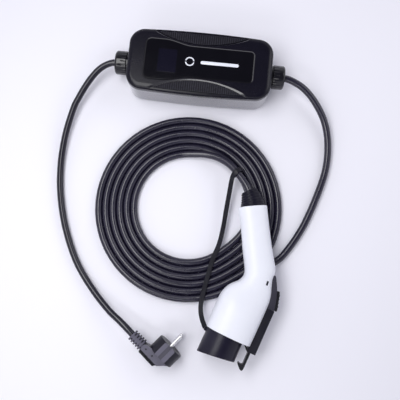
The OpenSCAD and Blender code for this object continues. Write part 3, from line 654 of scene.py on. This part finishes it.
def panel_outline(d):
    """Edge of the panel, set in by d."""
    quarter = [math.pi / 20 * i for i in range(11)]
    side = [(PANEL_RIGHT - RIGHT_R + (RIGHT_R - d) * math.cos(t),
             panel_half(PANEL_RIGHT) - RIGHT_R + (RIGHT_R - d) * math.sin(t)) for t in quarter]
    side += [(x, panel_half(x) - d) for x in [WAIST_X - WAIST_RUN * i / 24 for i in range(25)]]
    side += [(PANEL_LEFT + LEFT_R - (LEFT_R - d) * math.sin(t),
              panel_half(PANEL_LEFT) - LEFT_R + (LEFT_R - d) * math.cos(t)) for t in quarter]
    return side + [(x, -y) for x, y in side[::-1]]


def stadium(x, length, width, n=16):
    """Long outline with round ends."""
    r, half = width / 2, (length - width) / 2
    right = [(x + half + r * math.cos(t), r * math.sin(t))
             for t in [-math.pi / 2 + math.pi * i / n for i in range(n + 1)]]
    return right + [(2 * x - u, -v) for u, v in right]


def ring_arc(side, grow=0.0, n=28):
    """One of the two arcs of the touch ring."""
    outer, inner = RING_D / 2 + grow, RING_D / 2 - RING_LINE - grow
    gap = RING_GAP / 2 - grow
    arc = []
    for r, order in ((outer, 1), (inner, -1)):
        first = math.asin(gap / r)
        steps = [first + (math.pi - 2 * first) * i / n for i in range(n + 1)]
        arc += [(RING_X + r * math.cos(t), side * r * math.sin(t)) for t in steps[::order]]
    return arc


LENS_SLOPE, RIM_X, RIM_Y = 1.5, 62, 36
cut(cover, [lens_cutter(s, LENS_SLOPE) for s in (-1, 1)]
    + [loose(Shape().prism(panel_outline(-0.1), PANEL_Z, BOX_H + 4))])
finish_mesh(cover, 24)
cover.data.materials.append(cover_edge)
# The sloping pocket walls take the lighter, glossier copy: painted highlight along the rims.
for face in cover.data.polygons:
    on_slope = 0.7 < face.normal.z < 0.93 and face.center.z > (BOX_H - LENS_DEPTH - 0.5) * MM
    near = abs(face.center.y) < RIM_Y * MM and abs(face.center.x) < RIM_X * MM
    face.material_index = int(on_slope and near)
flat_weighted(cover)

panel_levels = [(0, PANEL_Z), (0, BOX_H - 0.05), (0.15, BOX_H + 0.05), (1.3, PANEL_TOP - 0.05),
                (1.5, PANEL_TOP)]
panel = make("front_glass", Shape().loft(
    [[(x, y, z) for x, y in panel_outline(d)] for d, z in panel_levels]), panel_black,
    replaces=["front_panel"])
cut(panel, [loose(Shape().prism(stadium(BAR_X, BAR_L + 0.2, BAR_W + 0.2), PANEL_Z - 1, BOX_H + 4))]
    + [loose(Shape().prism(ring_arc(s, 0.06), PANEL_Z - 1, BOX_H + 4)) for s in (-1, 1)])
finish_mesh(panel, 20)
panel.data.materials.append(panel_edge)
# Rim faces turned back or right take the lighter, glossier copy: painted highlight on that side of the
# rim.
for face in panel.data.polygons:
    face.material_index = int(0.4 < face.normal.z < 0.98 and face.normal.x + face.normal.y > 0.05)
flat_weighted(panel)


def dome(outline_at, low, top, edge=0.3):
    """Raised inlay with a rolled rim; outline_at gives the outline for an inset."""
    return Shape().loft([[(x, y, z) for x, y in outline_at(d)] for d, z in
                         ((0, low), (0, top - edge), (edge * 0.3, top - edge * 0.3), (edge, top))])


make("bar_lens", dome(lambda d: stadium(BAR_X, BAR_L - 2 * d, BAR_W - 2 * d), SEAM_Z, PANEL_TOP + 0.1),
     light_white, replaces=["light_bar"])
touch = Shape()
for s in (-1, 1):
    arc = dome(lambda d: ring_arc(s, -d), PANEL_Z, PANEL_TOP + 0.1, 0.2)
    touch.add(arc.verts, arc.faces)
make("touch_arcs", touch, light_white, replaces=["touch_ring"])


def rounded_box(x0, x1, y0, y1, r, n=6):
    out = []
    centres = ((x1 - r, y1 - r), (x0 + r, y1 - r), (x0 + r, y0 + r), (x1 - r, y0 + r))
    for start, (cx, cy) in enumerate(centres):
        for i in range(n + 1):
            t = math.pi / 2 * (start + i / n)
            out.append((cx + r * math.cos(t), cy + r * math.sin(t)))
    return out


def window_outline(d):
    left, right, low, high = WINDOW
    return rounded_box(left + d, right - d, low + d, high - d, 1.2)


flat_weighted(make("display_glass", dome(window_outline, PANEL_TOP - 0.3, PANEL_TOP + 0.05, 0.12),
                   window_black))


# Soft grips: a woven relief of upright ribs crossed by fine grooves
GRIP_RIB, GRIP_GROOVE, GRIP_RELIEF, GRIP_RIDGE = 2.8, 1.7, 0.42, 0.72
GRIP_REACH, GRIP_ROWS, GRIP_COLUMNS, GRIP_EDGE = 63.0, 36, 300, 0.35


def grip_relief(x, y):
    rib = 0.5 + 0.5 * math.cos(2 * math.pi * x / GRIP_RIB)
    groove = 0.5 + 0.5 * math.cos(2 * math.pi * y / GRIP_GROOVE)
    return GRIP_RELIEF * rib ** 0.6 * (0.35 + 0.65 * groove ** 0.7)


def outer_y(x):
    """Where the pocket runs out into the cover's rolled edge."""
    return BOX_B - 3.4 - (x / BOX_A) ** 2 * 2.2


def grip_points(side):
    """Top and bottom points of a grip, column by column."""
    top, bottom = [], []
    for i in range(GRIP_COLUMNS + 1):
        x = -GRIP_REACH + 2 * GRIP_REACH * i / GRIP_COLUMNS
        y_in = LENS_R - math.sqrt(LENS_R ** 2 - x * x) + GRIP_EDGE
        y_out = max(y_in + 0.05, outer_y(x) - LENS_Y)
        for j in range(GRIP_ROWS + 1):
            f = j / GRIP_ROWS
            y = y_in + (y_out - y_in) * f
            fade = smoothstep(min(f, 1 - f) * (y_out - y_in) / GRIP_EDGE)
            top.append((x, side * y, 0.06 + (0.45 + grip_relief(x, y)) * fade))
            bottom.append((x, side * y, 0.04))
    return top, bottom


def grip(name, side, replaced):
    place = lens_place(side)
    top, bottom = grip_points(side)
    rows, columns = GRIP_ROWS, GRIP_COLUMNS
    n, count = rows + 1, len(top)
    shape, painted_top = Shape(), []
    shape.verts = [place @ Vector(p) for p in top + bottom]
    for i in range(columns):
        for j in range(rows):
            a, b = i * n + j, (i + 1) * n + j
            shape.faces += [(a, b, b + 1, a + 1), (count + a, count + a + 1, count + b + 1, count + b)]
            painted_top += [sum(top[k][2] for k in (a, b, a + 1, b + 1)) / 4 > GRIP_RIDGE, False]
    border = ([i * n for i in range(columns + 1)] + [columns * n + j for j in range(1, n)]
              + [i * n + rows for i in range(columns - 1, -1, -1)] + list(range(rows - 1, 0, -1)))
    for a, b in zip(border, border[1:] + border[:1]):
        shape.faces.append((a, b, count + b, count + a))
    # Faces high on the relief take the lighter grey: painted highlight on the ridge tops.
    pad = make(name, shape, [grip_grey, grip_ridge], sharp=60, replaces=[replaced])
    for face, on_ridge in zip(pad.data.polygons, painted_top):
        face.material_index = int(on_ridge)


grip("grip_pad_rear", 1, "grip_rear")
grip("grip_pad_front", -1, "grip_front")


# Cable glands: a flanged body and a domed nut with fine flutes near the wall
GLAND_R, NUT_ROUND, NUT_BORE = 15.5, 3.2, 11.2


def fluted_nut(cable, flutes=18):
    """Domed nut with fine flutes; outer holds radius, height and how deep the flutes are there."""
    n, hole, mid_r, mid_z = flutes * 8, cable / 2, GLAND_R - NUT_ROUND, GLAND_L - NUT_ROUND
    outer = [(GLAND_R - 0.5, 3.3, 1), (GLAND_R - 0.1, 3.6, 1), (GLAND_R, 4.2, 1), (GLAND_R, 9.4, 1),
             (GLAND_R, 10.2, 0.3)]
    outer += [(mid_r + NUT_ROUND * math.cos(t), mid_z + NUT_ROUND * math.sin(t), 0)
              for t in [math.pi / 2 * i / 10 for i in range(11)]]
    outer += [(hole + 1.8, GLAND_L, 0), (hole + 0.9, GLAND_L - 0.4, 0), (hole + 0.5, GLAND_L - 1.4, 0),
              (hole + 0.5, 12.3, 0), (NUT_BORE, 12.3, 0), (NUT_BORE, 3.3, 0)]
    rings = []
    for r, z, flute in outer:
        ring = []
        for i in range(n):
            t = 2 * math.pi * i / n
            dip = 0.45 * flute * (0.5 - 0.5 * math.cos(flutes * t)) ** 3
            ring.append(((r - dip) * math.cos(t), (r - dip) * math.sin(t), z))
        rings.append(ring)
    return Shape().loft(rings, loop=True)


def gland_collar(cable):
    inner = cable / 2 + 0.6
    r = GLAND_R - 0.8
    return lathe([(inner, -WALL - 8), (9, -WALL - 8), (9, 0), (r, 0), (r, 2.5), (r - 0.4, 2.95), (11, 3),
                  (11, 12), (8, 12), (8, 1), (inner, 1)], 96)


for name, cable, side in (("supply", SUPPLY_D, -1), ("ev", EV_D, 1)):
    at = (Matrix.Translation((side * BOX_A, 0, GLAND_Z))
          @ Matrix.Rotation(0 if side > 0 else math.pi, 4, "Z") @ ALONG_X)
    make(name + "_nut", fluted_nut(cable).moved(at), gland_black, sharp=35,
         replaces=[name + "_gland_nut"])
    make(name + "_collar", gland_collar(cable).moved(at), gland_black, sharp=35,
         replaces=[name + "_gland_body"])


# Mains plug: a round body, a block that turns the cable aside, and a ribbed sleeve on a spine
ALONG_Y = Matrix.Rotation(-math.pi / 2, 4, "X")
RIBS, RIB_W, RIB_PITCH, CORE_R = 5, 2.3, 3.9, 5.9
SPINE_H, FLAT_DEPTH, GROOVE_DEPTH, CLIP_DEPTH = 7, 2, 2.8, 1.35


def bar(x0, x1, y0, y1, z0, z1):
    return Shape().prism([(x0, y0), (x1, y0), (x1, y1), (x0, y1)], z0, z1)


def plug_body():
    r = PLUG_D / 2
    profile = [(0, 0), (r - 1, 0), (r - 0.3, 0.3), (r, 1), (r, PLUG_L - 1.5), (r - 0.5, PLUG_L - 0.45),
               (r - 1.5, PLUG_L), (0, PLUG_L)]
    return lathe(profile, 96).moved(Matrix.Translation((-PLUG_L, 0, 0)) @ ALONG_X)


def plug_parts():
    back = BLOCK_BACK
    block = Shape().prism([(-PLUG_L + 1, 16), (-PLUG_L - 2, 24.5), (back, 24.5), (back, -4.4),
                           (-PLUG_L - 2.8, -10.2), (-PLUG_L + 1, 3.4 - PLUG_D / 2)], -BLOCK_H, BLOCK_H)
    neck = Shape().prism([(back + 1, 23), (back - 3, 23), (back - 3, -1.8), (back + 1, -5)],
                         5 - BLOCK_H, BLOCK_H - 5)
    flange = Shape().prism([(back - 2.8, 24), (back - 4.4, 23), (back - 4.4, -0.6), (back - 2.8, -2)],
                           2.5 - BLOCK_H, BLOCK_H - 2.5)
    turned = [(0, 15), (CORE_R, 15)]
    for i in range(RIBS, 0, -1):
        rib, at = 7.5 + 0.08 * i, SLEEVE_END - RIB_W - RIB_PITCH * (i - 1)
        turned += [(CORE_R, at), (rib - 0.5, at), (rib, at + 0.5), (rib, at + 1.8),
                   (rib - 0.5, at + RIB_W), (CORE_R, at + RIB_W)]
    ribbed = lathe(turned + [(0, SLEEVE_END)], 48).moved(Matrix.Translation((BOOT_X, 0, 0)) @ ALONG_Y)
    spine = bar(BOOT_X - 2.2, BOOT_X + 2.2, 20, SLEEVE_END - 0.5, -SPINE_H, SPINE_H)
    return [block, neck, flange, ribbed, spine]


def plug_cuts():
    """Flats with a groove above and below, slots for the earth clips, earth hole and screw holes."""
    r = PLUG_D / 2
    cuts = []
    for s in (-1, 1):
        cuts.append(bar(-PLUG_L, 4, -8.3, 8.3, *sorted((s * (r - FLAT_DEPTH), s * (r + 3)))))
        cuts.append(bar(-PLUG_L, 4, -2.6, 2.6, *sorted((s * (r - GROOVE_DEPTH), s * (r + 3)))))
        cuts.append(bar(-16, 4, *sorted((s * (r - CLIP_DEPTH), s * (r + 3))), -2.5, 2.5))
    earth = lathe([(0, -17), (3.2, -17), (3.2, 4), (0, 4)], 32)
    cuts.append(earth.moved(Matrix.Translation((0, -10, 0)) @ ALONG_X))
    for x, y in ((BOOT_X + 1.5, 19), (BOOT_X + 1.5, 8)):
        cuts.append(post(x, y, 1.1, BLOCK_H - 1.2, BLOCK_H + 2, 20))
    return cuts


def plug_piece():
    plug = make("plug_shell", plug_body().moved(PLUG), plug_black, replaces=["plug_body"])
    join(plug, [loose(part.moved(PLUG)) for part in plug_parts()])
    cut(plug, [loose(c.moved(PLUG)) for c in plug_cuts()])
    finish_mesh(plug, 28)
    # Faces that lie level at the heights of the block, the flats and the spine, and the upward faces of
    # the sleeve ribs, take the lighter grey: painted light on the tops. The groove floors take the mid
    # grey: painted light, dimmer in the grooves.
    plug.data.materials.append(plug_painted_top)
    plug.data.materials.append(plug_groove)
    to_plug, r = PLUG.inverted(), PLUG_D / 2
    for face in plug.data.polygons:
        height = abs(face.center.z / MM - PLUG_AT.z)
        level = abs(face.normal.z) > 0.97
        q = to_plug @ (face.center / MM)
        rib_top = q.y > 25 and math.hypot(q.x - BOOT_X, q.z) > 7 and face.normal.z > 0.45
        painted_top = rib_top or level and min(abs(height - h) for h in (BLOCK_H, r - FLAT_DEPTH, SPINE_H)) < 0.2
        in_groove = level and abs(height - r + GROOVE_DEPTH) < 0.2
        face.material_index = 1 if painted_top else 2 if in_groove else 0
    return soft_edges(plug, 0.35)


plug_shell = plug_piece()


# Connector shells: sections from the front to the cable end, each the two ends of its width and half
# its thickness
STATIONS = [
    (0, -25.4, 0, 33.3, 25), (-16, -26.3, -15, 33.4, 26.2), (-30, -26.8, -28, 33.5, 26.6),
    (-41, -26.4, -39, 33.6, 25), (-50, -24.6, -48, 33.7, 22.4), (-57, -21.4, -58, 33.6, 20),
    (-62.5, -17, -68, 31.8, 18.7), (-67, -12.8, -77, 28.6, 18), (-72, -10.2, -86, 25.8, 17.5),
    (-77, -9.6, -94, 25.2, 17.2), (-84, -12, -103, 21, 17), (-105, -24.4, -123.4, 7.5, 16.6),
    (-128, -37.2, -145.5, -6, 16.2), (-148.9, -51.2, -167.5, -18.8, 16)]
SLOT_STATIONS, SLOT_W, SHELL_T, ROUNDNESS = 9, 8.15, 2.6, 2.4
SCREW_SPOTS = [(-24, -15, 19.6), (-24, 22, 19.6), (-108, -5, 14.6), (-129.5, -17.3, 14.4)]
EYELET = GUN @ Matrix.Translation((-80.8, 18.4, 0)) @ Matrix.Rotation(math.radians(4), 4, "Z")
EYELET_L, EYELET_W = 5.4, 2.5


def station(s):
    """Section values at a place counted in stations."""
    last = len(STATIONS) - 1
    i = min(last - 1, int(s))
    near = [STATIONS[min(last, max(0, i + k))] for k in (-1, 0, 1, 2)]
    return [cubic(*values, s - i) for values in zip(*near)]


def half_section(s, side, inset, slot, n=44):
    """Half of a section from the latch side round to the lower edge."""
    x0, y0, x1, y1, thick = station(s)
    middle = Vector(((x0 + x1) / 2, (y0 + y1) / 2))
    across = Vector((x1 - x0, y1 - y0))
    half, e, t = across.length / 2 - inset, unit(across), thick - inset
    first = math.asin((slot / t) ** (ROUNDNESS / 2))
    ring = []
    for i in range(n + 1):
        f = first + (math.pi - first) * i / n
        c = math.copysign(abs(math.cos(f)) ** (2 / ROUNDNESS), math.cos(f))
        w = t * abs(math.sin(f)) ** (2 / ROUNDNESS)
        p = middle + e * half * c
        ring.append(Vector((p.x, p.y, side * (w + 0.05))))
    return ring


def half_shell(side):
    """Outside and inside of one half, with a fine seam, through all sections."""
    last = len(STATIONS) - 1
    steps = [(0.0, 0.7), (0.012, 0.28), (0.035, 0.06), (0.07, 0.0)]
    steps += [(i / 8, 0.0) for i in range(1, 8 * last)]
    steps += [(last - 0.03, 0.06), (last - 0.01, 0.25), (last, 0.6)]
    rings = []
    for s, soft in steps:
        slot = SLOT_W * (1 - smoothstep((s - SLOT_STATIONS) / 0.5))
        outer = half_section(s, side, soft, slot)
        x0, y0, x1, y1, _ = station(s)
        inward = 0.35 * unit(Vector((x1 - x0, y1 - y0, 0)))
        seam = outer[-1] + inward
        outer[-1] = Vector((outer[-1].x, outer[-1].y, side * 0.45)) + 0.02 * inward
        outer.append(seam)
        inner = half_section(s, side, SHELL_T, slot)
        rings.append(outer + [inner[-1]] + inner[::-1])
    return Shape().loft(rings)


def shell(name, side, replaced):
    obj = make(name, half_shell(side).moved(GUN), shell_white, sharp=38,
               replaces=[replaced])
    cuts = [loose(bar(0, EYELET_L, 0, EYELET_W, *sorted((side * 8, side * 28))).moved(EYELET))]
    if side < 0:
        cuts += [loose(post(x, y, 2.7, -40, 3 - z, 32).moved(GUN)) for x, y, z in SCREW_SPOTS]
    cut(obj, cuts)
    finish_mesh(obj, 38)
    obj.data.materials.append(latch_black)
    # The slot's walls through the white shell are coloured black: painted shade, so the slot reads as a
    # dark hole.
    for face in obj.data.polygons:
        p = EYELET.inverted() @ (face.center / MM)
        inside = -0.05 < p.x < EYELET_L + 0.05 and -0.05 < p.y < EYELET_W + 0.05
        face.material_index = int(inside and abs(face.normal.z) < 0.1)
    bosses = Shape()
    for x, y, z in SCREW_SPOTS:
        low, high = (0.05, z - 0.4) if side > 0 else (3.2 - z, -0.05)
        boss = lathe([(1.5, low), (3.4, low), (3.4, high), (1.5, high)], 32)
        boss.moved(Matrix.Translation((x, y, 0)))
        bosses.add(boss.verts, boss.faces)
    make(name + "_bosses", bosses.moved(GUN), shell_white)


shell("shell_half_upper", 1, "gun_shell_upper")
shell("shell_half_lower", -1, "gun_shell_lower")


# Latch: rail, bezel and one-piece lever, as outlines in the connector's plane
def plate(name, outline, half, material, body, replaced, cuts=(), edge=0.5):
    obj = make(name, Shape().prism(outline, -half, half).moved(GUN), material, body=body,
               replaces=replaced)
    if cuts:
        cut(obj, [loose(c.moved(GUN)) for c in cuts])
    finish_mesh(obj, 30)
    return soft_edges(obj, edge)


PIVOT, LATCH_HALF, LEVER_HALF, CHANNEL_HALF = (-34, 38), 8, 5, 5.6
SPRING_U, SPRING_R, SPRING_WIRE, SPRING_TURNS = -64, 2.5, 0.75, 5
plate("rail_channel", [(-50.85, 31.4), (6.8, 31.4), (6.8, 42.7), (-50.85, 42.7)], LATCH_HALF, rail_black,
      "charger", ["latch_rail"],
      [bar(-60, 20, 33.4, 41.6, -CHANNEL_HALF, CHANNEL_HALF), post(*PIVOT, 1.5, -10, 10)], 0.3)
gusset = [(0.4, 26.6), (2, 26.8), (6.6, 31.6), (4.6, 31.6), (1.6, 29.2), (0.4, 29)]
make("rail_gusset", Shape().prism(gusset, -4, 4).moved(GUN), latch_black)
spring_seat = lathe([(0, 27.4), (3.4, 27.4), (3.4, 40), (0, 40)], 32)
plate("bezel_frame",
      [(-50.9, 26), (-50.9, 42.2), (-56, 41.2), (-62, 39.8), (-68, 38.1), (-74.7, 35.8), (-81.5, 32.5),
       (-87, 29.4), (-91, 27), (-91.2, 25.2), (-88.5, 22.8), (-80, 22.4), (-72, 24), (-62, 26)],
      LATCH_HALF, bezel_grey, "charger", ["latch_bezel"],
      [bar(-77.2, -37, 31.8, 52, -CHANNEL_HALF, CHANNEL_HALF),
       spring_seat.moved(Matrix.Translation((SPRING_U, 0, 0)) @ ALONG_Y)], 0.6)

# Thumb pad with four ridges, then the bar forward to the hook
pad = [(-75.5, 36.8), (-75.5, 39.3), (-73.5, 40.2)]
for i in range(4):
    u = -71.5 + 4.4 * i
    v = 40.2 + (u + 73.5) * 0.27
    pad += [(u - 0.5, v), (u, v + 0.75), (u + 0.9, v + 0.85), (u + 1.4, v + 0.5)]
pad += [(-53.6, 45.5), (-52.2, 45.4), (-51.6, 44.6), (-51.6, 41.1), (-34, 41.1)]
front = [(-27, 40.4), (-20, 39.3), (-14, 37.9), (-10, 37.1), (24, 36.9), (28.6, 36.7), (30.2, 35.9),
         (30.6, 34.6), (29.8, 32.6), (24.9, 27.8), (23.6, 27.9), (22.8, 28.8), (23.6, 31.6), (22.8, 33.9),
         (-25, 33.9), (-41, 36.8)]
plate("lever_bar", pad + front, LEVER_HALF, latch_black, "lever", ["latch_lever"],
      [post(*PIVOT, 1.8, -10, 10)], 0.45)


# Return spring below the thumb pad
wound = 2 * math.pi * SPRING_TURNS
spring_path = [gun_at(SPRING_U + SPRING_R * math.cos(t), 27.9 + 8.4 * t / wound, SPRING_R * math.sin(t))
               for t in [wound * i / 120 for i in range(121)]]
spring = make("return_spring", tube(spring_path, SPRING_WIRE, 12), steel,
              replaces=["latch_spring"], ride=False)
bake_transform(spring)


# Sleeve at the end of the grip: rings that follow the cable's bend
def sleeve_ring(s, r, n=56):
    c, t = boot_at(s), boot_angle(s)
    return [Vector((c.x - math.sin(t) * u, c.y + math.cos(t) * u, w)) for u, w in circle(r, n)]


def sleeve():
    ribs, start, bore = 6, 0.3, EV_D / 2 + 0.5
    pitch = (BOOT_L - start) / ribs
    rings = [(-10, 12.4), (start, 12.4), (start, 15.7), (start + 0.2, 16.1)]
    for k in range(ribs):
        r = 16.2 - 1.0 * k
        for f, drop in ((0.12, 0.05), (0.2, 0), (0.5, 0.2), (0.6, 0.4), (0.68, 1.1), (0.9, 1.3),
                        (0.98, 1.2)):
            rings.append((start + (k + f) * pitch, r - drop))
    rings += [(BOOT_L, 9.8), (BOOT_L, bore), (BOOT_L / 2, bore), (0, bore), (-10, bore)]
    return Shape().loft([sleeve_ring(s, r) for s, r in rings], loop=True)


make("grip_sleeve", sleeve().moved(GUN), boot_black, sharp=40, replaces=["cable_boot"])


# Dust cap: turned cup with a slanted end, and the lug that takes the strap
CAP_R, CAP_BORE, CAP_END, CAP_INNER, CAP_EDGE = 23.65, 21.75, 29.2, 22.8, 0.9
CAP_SLANT, CAP_LEAN = math.radians(8), math.radians(6)


def cap_ring(r, u, slanted=0.0, n=128):
    """Ring around the nose's axis; slanted says how much of the end's slant it takes."""
    out = []
    for y, z in circle(r, n):
        lean = math.tan(CAP_SLANT) * y + math.tan(CAP_LEAN) / math.cos(CAP_SLANT) * z
        out.append(Vector((u - slanted * lean, y, z)))
    return out


def cap_piece():
    rings = [(0.01, CAP_INNER), (CAP_BORE - 0.4, CAP_INNER), (CAP_BORE, CAP_INNER - 0.4), (CAP_BORE, 1.0),
             (CAP_BORE + 0.25, 0.55), (CAP_BORE + 0.7, 0.4), (CAP_R - 0.5, 0.4), (CAP_R - 0.12, 0.55),
             (CAP_R, 1.0)]
    rings += [(CAP_R, 1.0 + 22 * i / 6, i / 6) for i in range(1, 6)]
    for i in range(7):
        t = math.pi / 2 * i / 6
        rings.append((CAP_R - CAP_EDGE * (1 - math.cos(t)), CAP_END - CAP_EDGE * (1 - math.sin(t)), 1))
    rings += [(CAP_R - 3, CAP_END, 1), (8, CAP_END, 1), (0.01, CAP_END, 1)]
    cap = make("cap_cup", Shape().loft([cap_ring(*ring) for ring in rings]).moved(GUN), cap_rubber,
               body="cap", sharp=40, replaces=["dust_cap"])
    lug = rounded_box(1.2, 6.2, -CAP_R - 3, -CAP_R + 1, 0.8)
    join(cap, [loose(Shape().prism(lug, -3.5, 3.5).moved(GUN))])
    finish_mesh(cap, 40)


cap_piece()

# Strap from the lug on the cap to a loop around the cable
STRAP_HALF, STRAP_HALF_T, LOOP_HALF = 3.0, 0.8, 3
LOOP_AT, LOOP_AXIS = Vector((61.8, -132.3, 22.1)), Vector((0.64, -0.73, 0.23))
STRAP_STILL = (36.7, -269.3, 11)
strap_route = [
    (61.4, -132.6, 28.9), (58.9, -134.9, 27.9), (57.0, -137.2, 25.2), (56.0, -141, 21.9),
    (55.3, -147, 19.4), (54.3, -159.7, 16.8), (52.5, -181.5, 14), (50.9, -203.4, 12.4),
    (47.8, -225.2, 11.4), (41, -247.5, 11), STRAP_STILL, (33.4, -289, 11.6), (31.7, -304.5, 13),
    (32.6, -314.6, 15.6), (35.3, -323.2, 20), (38, -328.4, 24.6), gun_at(3.2, -CAP_R - 2.4)]
tether = strap(resample(catmull(strap_route, 10), 2.5), STRAP_HALF, STRAP_HALF_T)
inner, outer = EV_D / 2 + 0.15, EV_D / 2 + 2.3
hoop = lathe([(inner, -LOOP_HALF), (outer - 0.4, -LOOP_HALF), (outer, 0.4 - LOOP_HALF),
              (outer, LOOP_HALF - 0.4), (outer - 0.4, LOOP_HALF), (inner, LOOP_HALF)], 40)
hoop.moved(Matrix.Translation(LOOP_AT) @ LOOP_AXIS.to_track_quat("Z", "Y").to_matrix().to_4x4())
tether.add(hoop.verts, hoop.faces)
tether_obj = make("tether_strap", tether, strap_rubber, replaces=["cap_tether"],
                  ride=False)
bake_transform(tether_obj)
